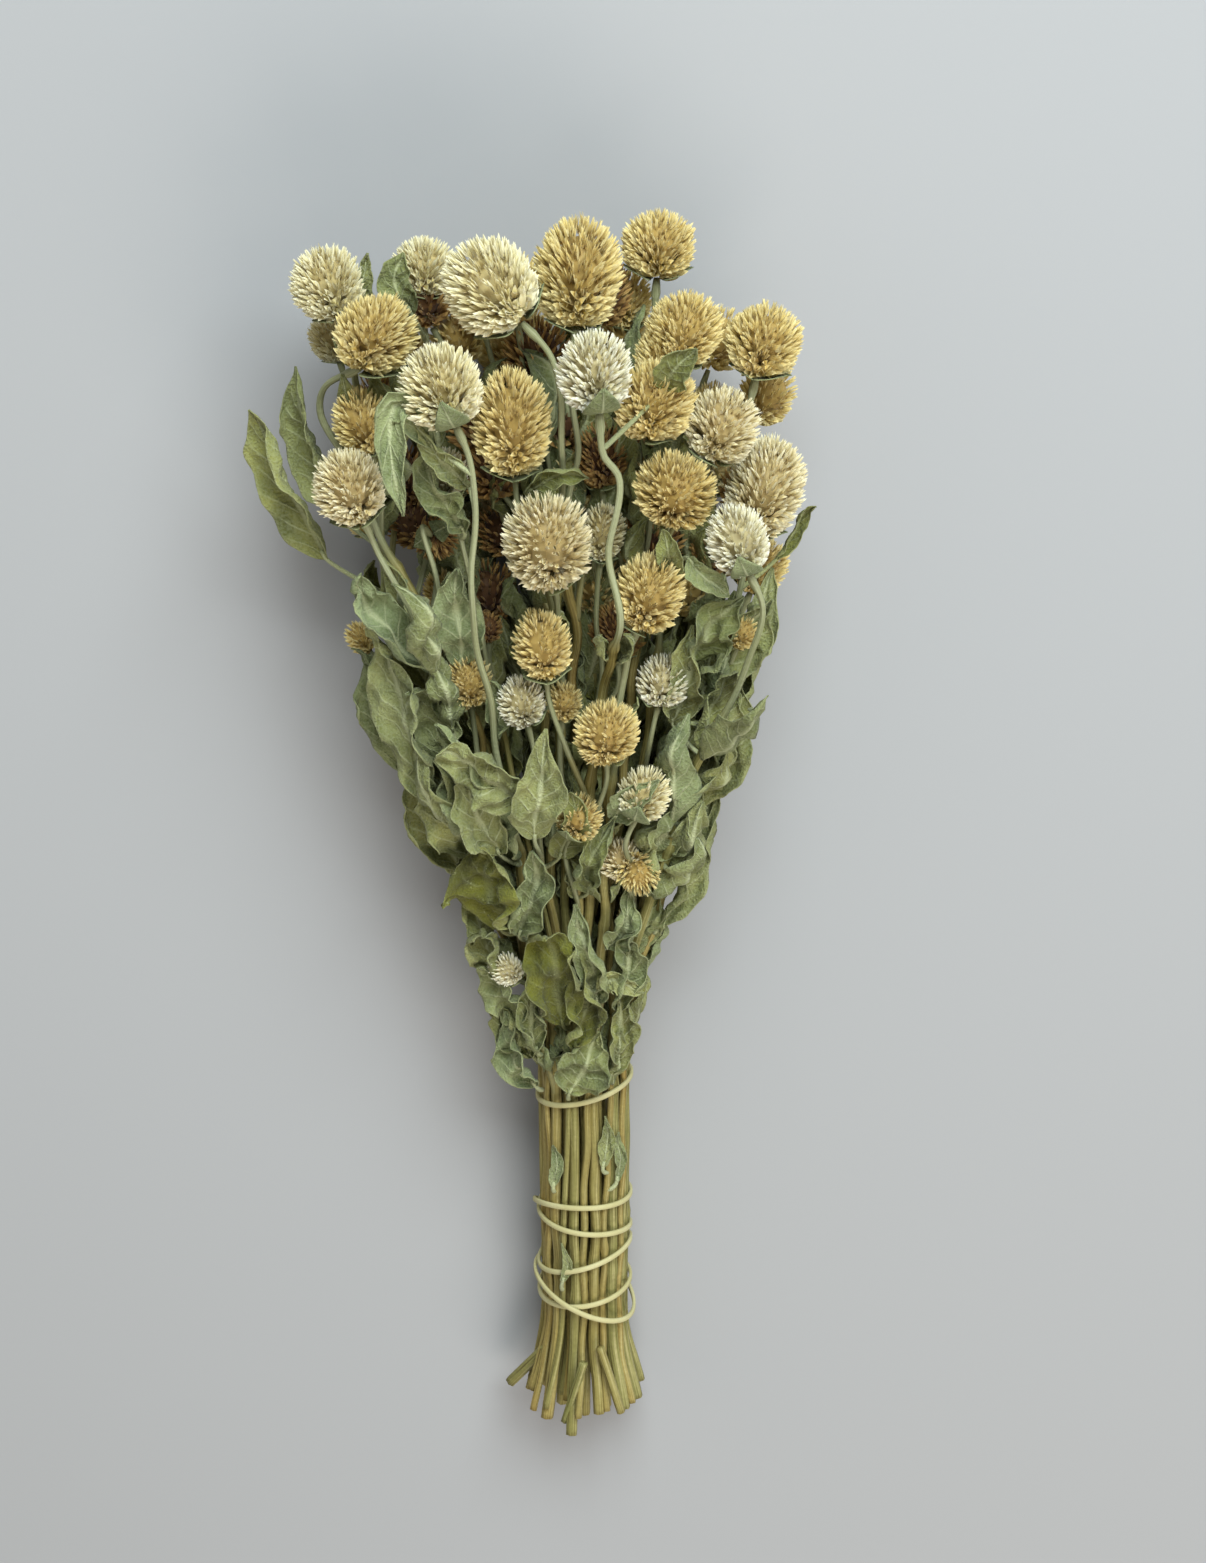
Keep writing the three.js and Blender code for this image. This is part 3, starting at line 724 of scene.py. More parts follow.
FRONT_ROOM, UNDER_ROOM, SMALL_ROOM, INNER_ROOM = 5.0, 8.5, 3.8, 11.0
PRESSED_UP = 0.2  # no bract comes nearer to the surface
CORE_ROWS, CORE_SIDES, CORE_SHARE = 7, 12, 0.62


def bract_faces():
    """A keeled scale: four edges (keel, right, hollow, left) run from the foot to one point."""
    rings = len(BRACT_STATIONS) - 1
    quads = [(3, 2, 1, 0)]
    for ring in range(rings - 1):
        for k in range(4):
            a, b = ring * 4 + k, ring * 4 + (k + 1) % 4
            quads.append((a, b, b + 4, a + 4))
    last = (rings - 1) * 4
    triangles = [(last + k, last + (k + 1) % 4, rings * 4) for k in range(4)]
    return np.array(quads), np.array(triangles)


BRACT_QUADS, BRACT_TRIANGLES = bract_faces()


def bract_points(foot, along, keel, length, width, bend):
    """Bracts as arrays: foot, direction, keel side, length, width and outward bend of each."""
    across = np.cross(along, keel)
    out = []
    for station, share in zip(BRACT_STATIONS, BRACT_WIDTHS):
        spine = foot + along * (length * station)[:, None] + keel * (bend * length * station**2)[:, None]
        w = (width * share / 2)[:, None]
        if share == 0:
            out.append(spine)
        else:
            out += [spine + keel * w * 0.6, spine - across * w, spine + keel * w * 0.28, spine + across * w]
    return np.stack(out, axis=1)  # bract, point, xyz


def rows_unit(vectors):
    """Each row scaled to a length of one."""
    return vectors / np.linalg.norm(vectors, axis=1)[:, None]


def head_shape(middle, width, length, points, seed, room):
    """The florets of one head, in spirals from the crown to the seat, room square millimetres to each."""
    chance = np.random.default_rng(seed)
    axis = unit(points)
    side = unit(np.cross(axis, (0.31, 0.2, 0.93)))
    other = np.cross(axis, side)
    r, h = width / 2, length / 2
    florets = int(np.clip(4 * math.pi * (r * r * h) ** (2 / 3) / room, *FLORETS))
    i = np.arange(florets)
    up = 1 - 1.9 * ((i + 0.5) / florets) ** 1.1
    up = np.clip(up + chance.normal(0, 0.02, florets), -0.92, 0.995)
    around = i * math.pi * (3 - math.sqrt(5)) + chance.normal(0, 0.09, florets)
    belt = np.sqrt(1 - up**2)
    outward = np.cos(around)[:, None] * side + np.sin(around)[:, None] * other
    # No head has grown quite even: it bulges a little to some sides.
    lump = 1 + 0.04 * np.sin(around * 2 + chance.uniform(0, 6)) * belt + 0.03 * np.sin(around * 3 + up * 4)
    swell = (lump * (1 + chance.normal(0, 0.028, florets)))[:, None]
    tips = middle + (outward * (belt * r)[:, None] + axis * (up * h)[:, None]) * swell
    # They lean towards the crown, except the lowest, which hang loose.
    lean_up = np.interp(up, [-0.92, -0.55, 0, 1], [-0.1, 0.3, 0.72, 1.2])
    along = rows_unit(outward * (0.9 * belt)[:, None] + axis * lean_up[:, None])
    along = rows_unit(along + chance.normal(0, 0.07, (florets, 3)))
    sideways = rows_unit(np.cross(along, axis + outward * 0.01))
    lie = np.cross(sideways, along)
    twist = chance.normal(0, 0.5, florets)[:, None]
    keel = sideways * np.cos(twist) + lie * np.sin(twist)
    crown = np.clip((up - 0.2) / 0.8, 0, 1)
    skirt = np.clip((0.0 - up) / 0.7, 0, 1)
    size = np.clip(r / 13, 0.6, 1.08)
    bract = (BRACT_LONG - 1.4 * crown + 0.6 * skirt) * size * chance.uniform(0.88, 1.12, florets)
    wide = (BRACT_WIDE - 0.5 * crown + 1.35 * skirt) * size**0.7 * chance.uniform(0.82, 1.18, florets)
    shape = Shape()
    share = np.concatenate([np.repeat(BRACT_STATIONS[:-1], 4), [1.0]])
    per = len(share)
    offset = np.arange(florets)[:, None, None] * per
    for hand in (1, -1):
        spread = hand * (0.13 + 0.16 * skirt) + chance.normal(0, 0.05, florets)
        lean = rows_unit(along + keel * spread[:, None])
        cheek = rows_unit(keel * hand - lean * (keel * hand * lean).sum(axis=1)[:, None])
        end = tips + keel * (hand * (0.3 + 0.35 * skirt) * size)[:, None]
        scale = bract * chance.uniform(0.88, 1.06, florets)
        bend = chance.normal(0.02, 0.05, florets) + 0.1 * skirt
        points_of = bract_points(end - lean * scale[:, None], lean, cheek, scale, wide, bend)
        # The bracts underneath are pressed flat against the surface.
        points_of[..., 2] = np.maximum(points_of[..., 2], PRESSED_UP)
        shape.add(
            points_of.reshape(-1, 3),
            (BRACT_QUADS[None] + offset).reshape(-1, 4),
            (BRACT_TRIANGLES[None] + offset).reshape(-1, 3),
            share=np.tile(share, florets),
            tone=np.repeat(chance.random(florets), per),
            rise=np.repeat((up + 1) / 2, per),
        )
    # The woody core that the bracts stand on, wholly in the inner colour: partly its own brown, partly
    # painted shade.
    polar = np.linspace(0.15, math.pi - 0.15, CORE_ROWS)[:, None, None]
    turn = full_round(CORE_SIDES)[None, :, None]
    ball = r * np.sin(polar) * (np.cos(turn) * side + np.sin(turn) * other) + h * np.cos(polar) * axis
    core = middle + CORE_SHARE * np.vstack([ball.reshape(-1, 3), h * axis, -h * axis])
    quads, triangles = capped_tube(CORE_ROWS, CORE_SIDES)
    shape.add(core, quads[:, ::-1], triangles[:, ::-1], share=0.0, tone=0.5, rise=0.5)
    return shape


def make_bract_material(name, tones):
    inner, body, tip = (tuple(c) + (1.0,) for c in tones)
    material, tree, shader = dry_material("bracts_" + name, 0.55, 0.1)
    share, tone, rise = (attribute(tree, key) for key in ("share", "tone", "rise"))
    stain, fleck = aged(tree, 70.0, 1500.0)
    # Painted shade: each bract darkens to the inner colour towards its foot, where the bracts crowd inwards.
    colour = mixed(tree, scaled(tree, share, 0.15, 0.6), inner, body)
    colour = mixed(tree, scaled(tree, share, 0.6, 1.0, 0.0, 0.8), colour, tip)
    # Some bracts have bleached and some browned; the lowest ones are the palest.
    colour = mixed(tree, scaled(tree, tone, 0.55, 1.0, 0.0, 0.75), colour, tip)
    colour = mixed(tree, scaled(tree, tone, 0.35, 0.0, 0.0, 0.4), colour, inner)
    low = maths(tree, "MULTIPLY", scaled(tree, rise, 0.45, 0.1), scaled(tree, share, 0.3, 0.8))
    colour = tinted(tree, colour, low, 0.5, tip)
    colour = tinted(tree, colour, fleck, 0.12, inner)
    colour = tinted(tree, colour, stain, 0.2, body)
    tree.links.new(colour, shader.inputs["Base Color"])
    raise_surface(tree, shader, fleck, 0.35, 0.0001)
    return material


bract_materials = {name: make_bract_material(name, tones) for name, tones in TONES.items()}
head_places = {}


def grow_head(name, place, tone, seed, room):
    """One head from its place: middle, width, length and the way it points."""
    head_places[name] = place
    shape = head_shape(*place, seed, room)
    return shape.build(name + "_bracts", bract_materials[tone], "straw_bracts", smooth=False)


for seed, (name, (*size_and_way, tone)) in enumerate(HEADS.items()):
    room = UNDER_ROOM if name.startswith("head_under") else FRONT_ROOM
    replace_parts(grow_head(name, (head_middle(name), *size_and_way), tone, seed, room), name)
for seed, (name, (middle, *size_and_way, tone)) in enumerate(SMALL_HEADS.items(), 100):
    room = INNER_ROOM if name.startswith("inner") else SMALL_ROOM
    grow_head(name, (np.array(middle, dtype=float), *size_and_way), tone, seed, room)


# ---------------------------------------------------------------------------
# Leaves. Each has dried on its stalk: a pointed blade folded along the midrib, crumpled, with rolled and
# waved edges, grey green and woolly outside, olive inside, with a pale midrib and side veins.

LEAF_ROWS, LEAF_COLUMNS = 34, 20
BLADE_THICK = 0.3
POINT_HALF = 0.3  # half the width of a leaf's foot and tip
VEIN_PAIRS, VEIN_SLANT = 7.0, 1.6
# Broad creases, then fine ones: how many, most across, fewest and most along the blade, depth.
CREASES = ((6, 1.3, 0.8, 3.4, 0.5), (4, 3, 3, 7, 0.16))


def leaf_grid(stops, face, width, fold, roll, wave, twist, chance, size=(LEAF_ROWS, LEAF_COLUMNS)):
    """The middle surface of a blade: a grid of points, one row across for each step along the midrib."""
    rows, columns = size
    spine = smooth_route(stops, 1.0)
    run = run_of(spine)
    spine = np.column_stack(
        [np.interp(np.linspace(0, run[-1], rows + 1), run, spine[:, k]) for k in range(3)]
    )
    length = run[-1]
    v = np.linspace(0, 1, rows + 1)
    along = rows_unit(np.gradient(spine, axis=0))
    across = rows_unit(np.cross(along, np.asarray(face, dtype=float)))
    top = np.cross(across, along)
    phase = chance.uniform(0, FULL_TURN, 8)
    spine = spine + top * (0.03 * length * np.sin(9 * v + phase[0]) * v)[:, None]
    spine = spine + across * (0.1 * length * np.sin(5 * v + phase[1]) * v * (1 - v))[:, None]
    # The tip has curled over to one side or the other.
    curl = length * chance.uniform(-0.6, 1.3) * np.maximum(0, v - 0.62) ** 2
    spine = spine + (top - 0.6 * along) * (wave * curl)[:, None]
    turn = (twist * (v - 0.25) + 0.2 * wave * np.sin(5 * v + phase[2]) * v)[:, None]
    right = across * np.cos(turn) + top * np.sin(turn)
    raised = top * np.cos(turn) - across * np.sin(turn)
    outline = np.sin(math.pi * v**0.82) ** 0.8 * (1 - 0.3 * v**3) * width / 2
    outline = np.maximum(outline, POINT_HALF)
    grid = np.zeros((rows + 1, columns + 1, 3))
    half = columns // 2
    grid[:, half] = spine
    for hand in (-1, 1):
        reach, lift = np.zeros(rows + 1), np.zeros(rows + 1)
        ragged = 1 + 0.1 * np.sin(v * 10 + phase[3] * hand) + 0.05 * np.sin(v * 27 + phase[4])
        rolls = roll * chance.uniform(0.5, 1.4)
        for k in range(1, half + 1):
            w = k / half
            # Folded up from the midrib, rolled in at the edge, and waved along it.
            slope = (
                math.atan(fold) * (1 - 0.3 * v)
                + rolls * 2.1 * w**2 * (0.65 + 0.35 * np.sin(8 * v + phase[5] + hand))
                + 0.3 * wave * w * np.sin(v * 11 + phase[6] + hand * 1.3)
                + 0.22 * wave * w**2 * np.sin(v * 23 + phase[7] * hand)
            )
            reach = reach + np.cos(slope) / half * outline * ragged
            lift = lift + np.sin(slope) / half * outline * ragged
            grid[:, half + hand * k] = spine + right * (hand * reach)[:, None] + raised * lift[:, None]
    return crumpled(grid, width, wave, chance)


def places_on(grid):
    """How far across (-1 to 1) and along (0 to 1) the blade each point of its grid lies."""
    return np.meshgrid(np.linspace(-1, 1, grid.shape[1]), np.linspace(0, 1, grid.shape[0]))


def grid_normals(grid):
    """The way that the upper side looks at each point of a blade."""
    normal = np.cross(np.gradient(grid, axis=1), np.gradient(grid, axis=0))
    return normal / np.maximum(np.linalg.norm(normal, axis=2), 1e-9)[..., None]


def crumpled(grid, width, wave, chance):
    """Side veins pull the blade into pleats, and drying creases it all over."""
    across, along = places_on(grid)
    off_rib = np.abs(across)
    pleat = np.cos((along * VEIN_PAIRS - off_rib * VEIN_SLANT) * 2 * math.pi)
    lift = 0.3 * pleat * np.minimum(1, off_rib * 3)
    for count, most_across, fewest_along, most_along, depth in CREASES:
        for _ in range(count):
            p, q = chance.uniform(-most_across, most_across), chance.uniform(fewest_along, most_along)
            fold = np.sin(math.pi * (p * across + q * along) + chance.uniform(0, FULL_TURN))
            lift = lift + depth * wave * (1 - 2 * np.abs(fold))
    # A wide blade buckles more than a narrow one, and its two ends hardly at all.
    lift = lift * (width / 18) * np.sin(math.pi * np.clip(along, 0.02, 0.98)) ** 0.6
    return grid + grid_normals(grid) * lift[..., None]


def add_blade(shape, grid, hue, olive):
    """Closes a grid into a thin blade: an upper side, an under side and a rim. olive is the upper's."""
    rows, columns = grid.shape[0] - 1, grid.shape[1] - 1
    half_thick = grid_normals(grid) * BLADE_THICK / 2
    count = (rows + 1) * (columns + 1)
    wide = columns + 1
    a = (np.arange(rows)[:, None] * wide + np.arange(columns)[None]).ravel()
    upper = np.stack([a, a + 1, a + wide + 1, a + wide], axis=-1)
    rim = np.concatenate(
        [
            np.arange(columns),
            np.arange(rows) * wide + columns,
            rows * wide + np.arange(columns, 0, -1),
            np.arange(rows, 0, -1) * wide,
        ]
    )
    after = np.roll(rim, -1)
    rim_faces = np.stack([after, rim, rim + count, after + count], axis=-1)
    across, along = places_on(grid)
    shape.add(
        np.vstack([(grid + half_thick).reshape(-1, 3), (grid - half_thick).reshape(-1, 3)]),
        np.vstack([upper, upper[:, ::-1] + count, rim_faces]),
        np.zeros((0, 3)),
        across=np.tile(across.ravel(), 2),
        share=np.tile(along.ravel(), 2),
        olive=np.repeat([olive, 0.15 + 0.35 * olive], count),
        hue=hue,
    )


# The pale net of a leaf: a midrib and side veins that leave it at a slant and thin out to the edge.
VEIN_GROUP, vein_in, vein_out = node_group(
    "leaf_veins", [("Across", 0.0), ("Along", 0.0), ("Pairs", VEIN_PAIRS)], ["Veins"]
)
off_rib = maths(VEIN_GROUP, "ABSOLUTE", vein_in.outputs["Across"])
rib = scaled(VEIN_GROUP, off_rib, 0.11, 0.03)
beat = maths(VEIN_GROUP, "MULTIPLY", vein_in.outputs["Along"], vein_in.outputs["Pairs"])
beat = maths(VEIN_GROUP, "SUBTRACT", beat, maths(VEIN_GROUP, "MULTIPLY", off_rib, VEIN_SLANT))
side_vein = scaled(VEIN_GROUP, maths(VEIN_GROUP, "PINGPONG", beat, 0.5), 0.1, 0.0)
side_vein = maths(VEIN_GROUP, "MULTIPLY", side_vein, scaled(VEIN_GROUP, off_rib, 0.98, 0.4, 0.0, 0.8))
VEIN_GROUP.links.new(maths(VEIN_GROUP, "MAXIMUM", rib, side_vein), vein_out.inputs["Veins"])


def make_leaf_material():
    material, tree, shader = dry_material("dried_leaf", 0.75, 0.08)
    across, share, hue, olive = (attribute(tree, key) for key in ("across", "share", "hue", "olive"))
    stain, fleck = aged(tree, 75.0, 1100.0)
    sage = mixed(tree, stain, (0.085, 0.122, 0.034, 1), (0.32, 0.38, 0.175, 1))
    dull = mixed(tree, stain, (0.13, 0.135, 0.018, 1), (0.36, 0.35, 0.1, 1))
    sage = mixed(tree, hue, sage, dull)
    inside = mixed(tree, stain, (0.055, 0.055, 0.002, 1), (0.2, 0.2, 0.012, 1))
    colour = mixed(tree, olive, sage, inside)
    net = new_node(tree, "ShaderNodeGroup", node_tree=VEIN_GROUP)
    tree.links.new(across, net.inputs["Across"])
    tree.links.new(share, net.inputs["Along"])
    veins = net.outputs["Veins"]
    # Wool whitens the outer side, and hardly the inner.
    woolly = scaled(tree, olive, 0.3, 1.0, 1.0, 0.25)
    pale_vein = maths(tree, "MULTIPLY", veins, woolly)
    colour = tinted(tree, colour, pale_vein, 0.75, (0.54, 0.56, 0.3, 1))
    edge = scaled(tree, maths(tree, "ABSOLUTE", across), 0.9, 1.0, 0.0, 0.4)
    colour = mixed(tree, maths(tree, "MULTIPLY", edge, woolly), colour, (0.4, 0.4, 0.19, 1))
    wool = maths(tree, "MULTIPLY", fleck, woolly)
    colour = tinted(tree, colour, wool, 0.3, (0.46, 0.49, 0.3, 1))
    tree.links.new(colour, shader.inputs["Base Color"])
    height = maths(tree, "ADD", maths(tree, "MULTIPLY", veins, 0.8), fleck)
    raise_surface(tree, shader, height, 0.9, 0.0005)
    return material


leaf_material = make_leaf_material()
UP = (0, 0, 1)
UP_LEFT = (-0.6, 0, 1)
UP_RIGHT = (0.6, 0, 1)

# Leaves that the frame holds: places along the midrib, the way the upper side looks, width, fold, roll,
# wave, twist, and how olive the side is that shows.
LEAVES = {
    "leaf_left_long": (
        [(-82, 340, 62), (-95, 364, 60), (-104, 393, 63)], UP_LEFT, 21, 0.6, 0.7, 1.0, 0.5, 0.45
    ),
    "leaf_left_second": (
        [(-80, 352, 46), (-87, 376, 46), (-92, 400, 50)], UP_LEFT, 19, 0.6, 0.6, 1.2, 0.5, 0.3
    ),
    "leaf_left_large": (
        [(-52, 256, 62), (-58, 290, 68), (-64, 326, 64)], UP_LEFT, 22, 0.4, 0.3, 1.4, 0.4, 0.0
    ),
    "leaf_front_left": (
        [(-16, 262, 82), (-30, 272, 87), (-46, 285, 82)], (0, -0.3, 1), 21, 0.25, 0.3, 1.4, 0.2, 0.1
    ),
    "leaf_front_broad": (
        [(-14, 248, 80), (-13, 268, 91), (-10, 290, 97)], (0, -0.3, 1), 18, 0.3, 0.2, 0.9, 0.2, 0.15
    ),
    "leaf_olive_curled": (
        [(-26, 206, 58), (-30, 226, 67), (-30, 248, 70)], UP_LEFT, 25, 0.4, 0.9, 1.7, 0.4, 1.0
    ),
    "leaf_neck": (
        [(-5, 168, 53), (-9, 192, 61), (-12, 218, 65)], UP, 21, 0.4, 0.8, 1.7, 0.3, 1.0
    ),
    "leaf_right_mid": (
        [(40, 250, 58), (49, 273, 61), (56, 298, 62)], UP_RIGHT, 19, 0.6, 0.6, 1.5, 0.5, 0.4
    ),
    "leaf_right_long": (
        [(29, 203, 48), (41, 230, 52), (49, 257, 50)], UP_RIGHT, 15, 0.8, 0.7, 1.4, 0.5, 0.3
    ),
}
# Smaller leaves and scraps, told apart by number.
SMALL_LEAVES = [
    # Round the upper left heads.
    ([(-44, 384, 90), (-55, 399, 99), (-56, 380, 101), (-54, 364, 98)], UP, 13, 0.6, 0.5, 1.0, 0.2, 0.1),
    ([(-34, 369, 82), (-42, 380, 90), (-50, 392, 96)], UP, 11, 0.8, 0.8, 1.2, 0.3, 0.1),
    ([(-36, 352, 74), (-45, 368, 82), (-47, 386, 86)], UP, 13, 0.7, 0.7, 1.4, 0.3, 0.5),
    ([(-52, 420, 60), (-57, 430, 62), (-54, 441, 60)], UP, 12, 0.4, 0.3, 0.9, 0.2, 0.5),
    ([(-70, 418, 56), (-68, 428, 60), (-66, 440, 60)], UP_RIGHT, 8, 0.4, 0.3, 0.9, 0.2, 0.2),
    # Down the left side.
    ([(-38, 304, 66), (-39, 324, 74), (-38, 344, 78)], UP, 17, 0.4, 0.3, 1.2, 0.3, 0.05),
    ([(-50, 292, 52), (-57, 318, 62), (-60, 346, 66)], UP_LEFT, 16, 0.5, 0.4, 1.4, 0.4, 0.0),
    ([(-60, 261, 48), (-66, 285, 50), (-72, 312, 46)], UP_LEFT, 17, 0.5, 0.5, 1.5, 0.5, 0.25),
    ([(-20, 234, 62), (-33, 262, 74), (-46, 292, 76)], UP_LEFT, 26, 0.35, 0.4, 1.7, 0.3, 0.15),
    ([(-36, 232, 58), (-45, 254, 64), (-54, 280, 64)], UP_LEFT, 22, 0.5, 0.5, 1.5, 0.4, 0.2),
    ([(-26, 238, 68), (-33, 258, 78), (-37, 278, 78)], UP, 16, 0.5, 0.6, 1.7, 0.4, 0.3),
    ([(-40, 224, 46), (-51, 246, 50), (-60, 270, 48)], UP_LEFT, 17, 0.6, 0.7, 1.7, 0.5, 0.35),
    ([(-44, 262, 56), (-47, 284, 62), (-52, 306, 64)], UP_LEFT, 18, 0.45, 0.4, 1.4, 0.4, 0.05),
    # The neck: crumpled scraps pressed against the stalks.
    ([(-24, 186, 46), (-31, 196, 52), (-26, 210, 58)], UP_LEFT, 16, 0.6, 0.9, 1.6, 0.5, 0.1),
    ([(-27, 194, 44), (-35, 206, 50), (-37, 222, 50)], UP_LEFT, 13, 0.6, 0.9, 1.5, 0.5, 0.3),
    ([(-18, 166, 44), (-27, 180, 50), (-33, 192, 48)], UP_LEFT, 17, 0.6, 0.8, 1.7, 0.5, 0.25),
    ([(-15, 140, 44), (-22, 153, 47), (-25, 170, 46)], UP_LEFT, 15, 0.6, 0.8, 1.5, 0.4, 0.15),
    ([(-16, 150, 40), (-24, 162, 42), (-29, 178, 40)], UP_LEFT, 14, 0.7, 0.9, 1.6, 0.4, 0.5),
    ([(-14, 156, 50), (-17, 172, 55), (-15, 190, 57)], UP, 12, 0.7, 0.9, 1.5, 0.4, 0.6),
    ([(7, 176, 52), (4, 196, 60), (-1, 218, 62)], UP, 14, 0.7, 0.9, 1.4, 0.4, 0.15),
    ([(-1, 158, 52), (2, 178, 58), (0, 200, 60)], UP, 15, 0.7, 0.9, 1.6, 0.4, 0.95),
    ([(14, 172, 50), (17, 190, 57), (15, 212, 58)], UP_RIGHT, 13, 0.7, 0.9, 1.5, 0.4, 0.4),
    ([(-3, 139, 48), (2, 151, 53), (8, 166, 53)], UP, 19, 0.3, 0.5, 1.2, 0.3, 0.45),
    ([(12, 146, 46), (16, 162, 51), (14, 182, 53)], UP_RIGHT, 12, 0.7, 0.9, 1.5, 0.4, 0.4),
    ([(7, 182, 55), (14, 187, 59), (23, 182, 58)], UP, 9, 0.6, 0.5, 1.3, 0.4, 0.0),
    ([(-20, 204, 58), (-15, 224, 68), (-15, 244, 72)], UP, 17, 0.6, 0.8, 1.5, 0.4, 0.5),
    ([(10, 198, 54), (17, 208, 62), (18, 222, 62)], UP, 12, 0.6, 0.8, 1.4, 0.4, 0.1),
    ([(20, 190, 44), (24, 206, 48), (28, 224, 48)], UP_RIGHT, 12, 0.6, 0.8, 1.4, 0.4, 0.3),
    # Among the middle heads.
    ([(4, 222, 62), (5, 238, 72), (12, 252, 76)], UP, 13, 0.6, 0.8, 1.1, 0.4, 0.75),
    ([(-6, 236, 66), (-1, 252, 76), (-2, 268, 78)], UP, 13, 0.5, 0.6, 1.0, 0.4, 0.7),
    ([(12, 252, 72), (19, 262, 80), (28, 270, 80)], UP, 12, 0.5, 0.5, 0.9, 0.3, 0.2),
    ([(-16, 367, 82), (-6, 374, 88), (4, 373, 86)], (0, -0.2, 1), 11, 0.5, 0.8, 0.9, 0.2, 0.75),
    ([(30, 340, 84), (30, 350, 92), (27, 360, 94)], UP, 10, 0.5, 0.4, 0.7, 0.3, 0.65),
    ([(28, 402, 90), (32, 411, 97), (38, 417, 96)], UP, 13, 0.4, 0.4, 0.5, 0.2, 0.7),
    ([(36, 346, 84), (42, 340, 90), (50, 334, 88)], UP, 9, 0.6, 0.5, 0.8, 0.3, 0.1),
    # Down the right side.
    ([(38, 306, 70), (44, 321, 80), (54, 331, 80)], UP_RIGHT, 18, 0.5, 0.6, 1.7, 0.4, 0.6),
    ([(42, 294, 62), (54, 312, 68), (64, 328, 66)], UP_RIGHT, 20, 0.5, 0.5, 1.5, 0.5, 0.35),
    ([(38, 266, 60), (47, 280, 64), (54, 296, 62)], UP_RIGHT, 17, 0.5, 0.5, 1.5, 0.4, 0.1),
    ([(27, 255, 60), (34, 270, 68), (42, 284, 68)], UP_RIGHT, 16, 0.4, 0.5, 1.4, 0.4, 0.45),
    ([(22, 232, 58), (32, 246, 66), (43, 260, 64)], UP_RIGHT, 15, 0.5, 0.6, 1.5, 0.4, 0.3),
    ([(50, 300, 54), (60, 316, 58), (66, 334, 56)], UP_RIGHT, 15, 0.6, 0.6, 1.5, 0.5, 0.1),
    ([(66, 338, 58), (72, 348, 58), (77, 360, 56)], UP_RIGHT, 7, 1.0, 1.0, 1.2, 0.5, 0.8),
    ([(32, 284, 66), (36, 302, 76), (38, 322, 78)], UP, 14, 0.6, 0.6, 1.5, 0.4, 0.3),
    ([(40, 250, 46), (50, 266, 50), (56, 284, 48)], UP_RIGHT, 14, 0.6, 0.6, 1.5, 0.5, 0.2),
    # Pale scraps of leaf left on the stalks between the bands.
    ([(9, 106, 41.8), (11, 116, 42.2), (10, 127, 43.5)], UP, 6, 0.3, 0.4, 1.0, 0.4, 0.0),
    ([(14, 98, 38), (15.5, 109, 38), (14.5, 120, 39.5)], UP_RIGHT, 5, 0.3, 0.4, 1.0, 0.4, 0.0),
    ([(-9, 96, 38), (-8, 106, 39.6), (-9, 117, 39.8)], UP, 5, 0.3, 0.4, 1.0, 0.4, 0.0),
    ([(-6, 56, 36.6), (-4, 64, 38), (-6, 73, 38)], UP, 4, 0.3, 0.4, 0.8, 0.3, 0.0),
]
LEAST_RISE = 0.55  # of a leaf stalk along the bunch, as a share of its length
NECK_TOP = 235.0  # below this the leaves are crowded together
NECK_PETIOLE = 7.0  # the longest leaf stalk there


def nearest_on_stalks(point):
    """The closest place on any stalk from which a leaf stalk would rise at a slant to the point."""
    best, found = math.inf, point - np.array([0, 6, 3])
    for route in routes.values():
        gaps = np.linalg.norm(route - point, axis=1)
        gaps[point[1] - route[:, 1] <= LEAST_RISE * gaps] = math.inf
        if gaps.min() < best:
            best, found = gaps.min(), route[gaps.argmin()]
    return found


def add_petiole(shape, base, ahead, olive):
    base = np.array(base, dtype=float)
    along = unit(np.array(ahead, dtype=float) - base)
    root = nearest_on_stalks(base)
    if base[1] < NECK_TOP:
        # Down at the neck the stalk of a leaf is short, and goes in under the blade.
        reach = np.linalg.norm(root - base)
        root = base + (root - base) * min(1, NECK_PETIOLE / reach)
        root[2] -= 0.35 * max(0, reach - NECK_PETIOLE)
    route = smooth_route([root, (root + base) / 2 - along, base, base + along * 3], 1.5)
    rod = Shape()
    add_rod(rod, route, np.linspace(0.9, 0.6, len(route)), 0.05)
    shape.add(rod.points[0], rod.quads[0], rod.triangles[0], across=0.0, share=0.02, olive=olive, hue=0.6)


def hand_leaf(name, spec, seed):
    stops, *form, olive = spec
    chance = np.random.default_rng(seed)
    shape = Shape()
    grid = leaf_grid(stops, *form, chance)
    add_blade(shape, grid, chance.random(), olive)
    add_petiole(shape, stops[0], stops[1], olive)
    return shape.build(name, leaf_material, "dried_leaf")


for seed, (name, spec) in enumerate(LEAVES.items()):
    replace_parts(hand_leaf(name + "_blade", spec, seed + 1), name)
for number, spec in enumerate(SMALL_LEAVES, 1):
    hand_leaf(f"small_leaf_{number:02d}", spec, number + 40)

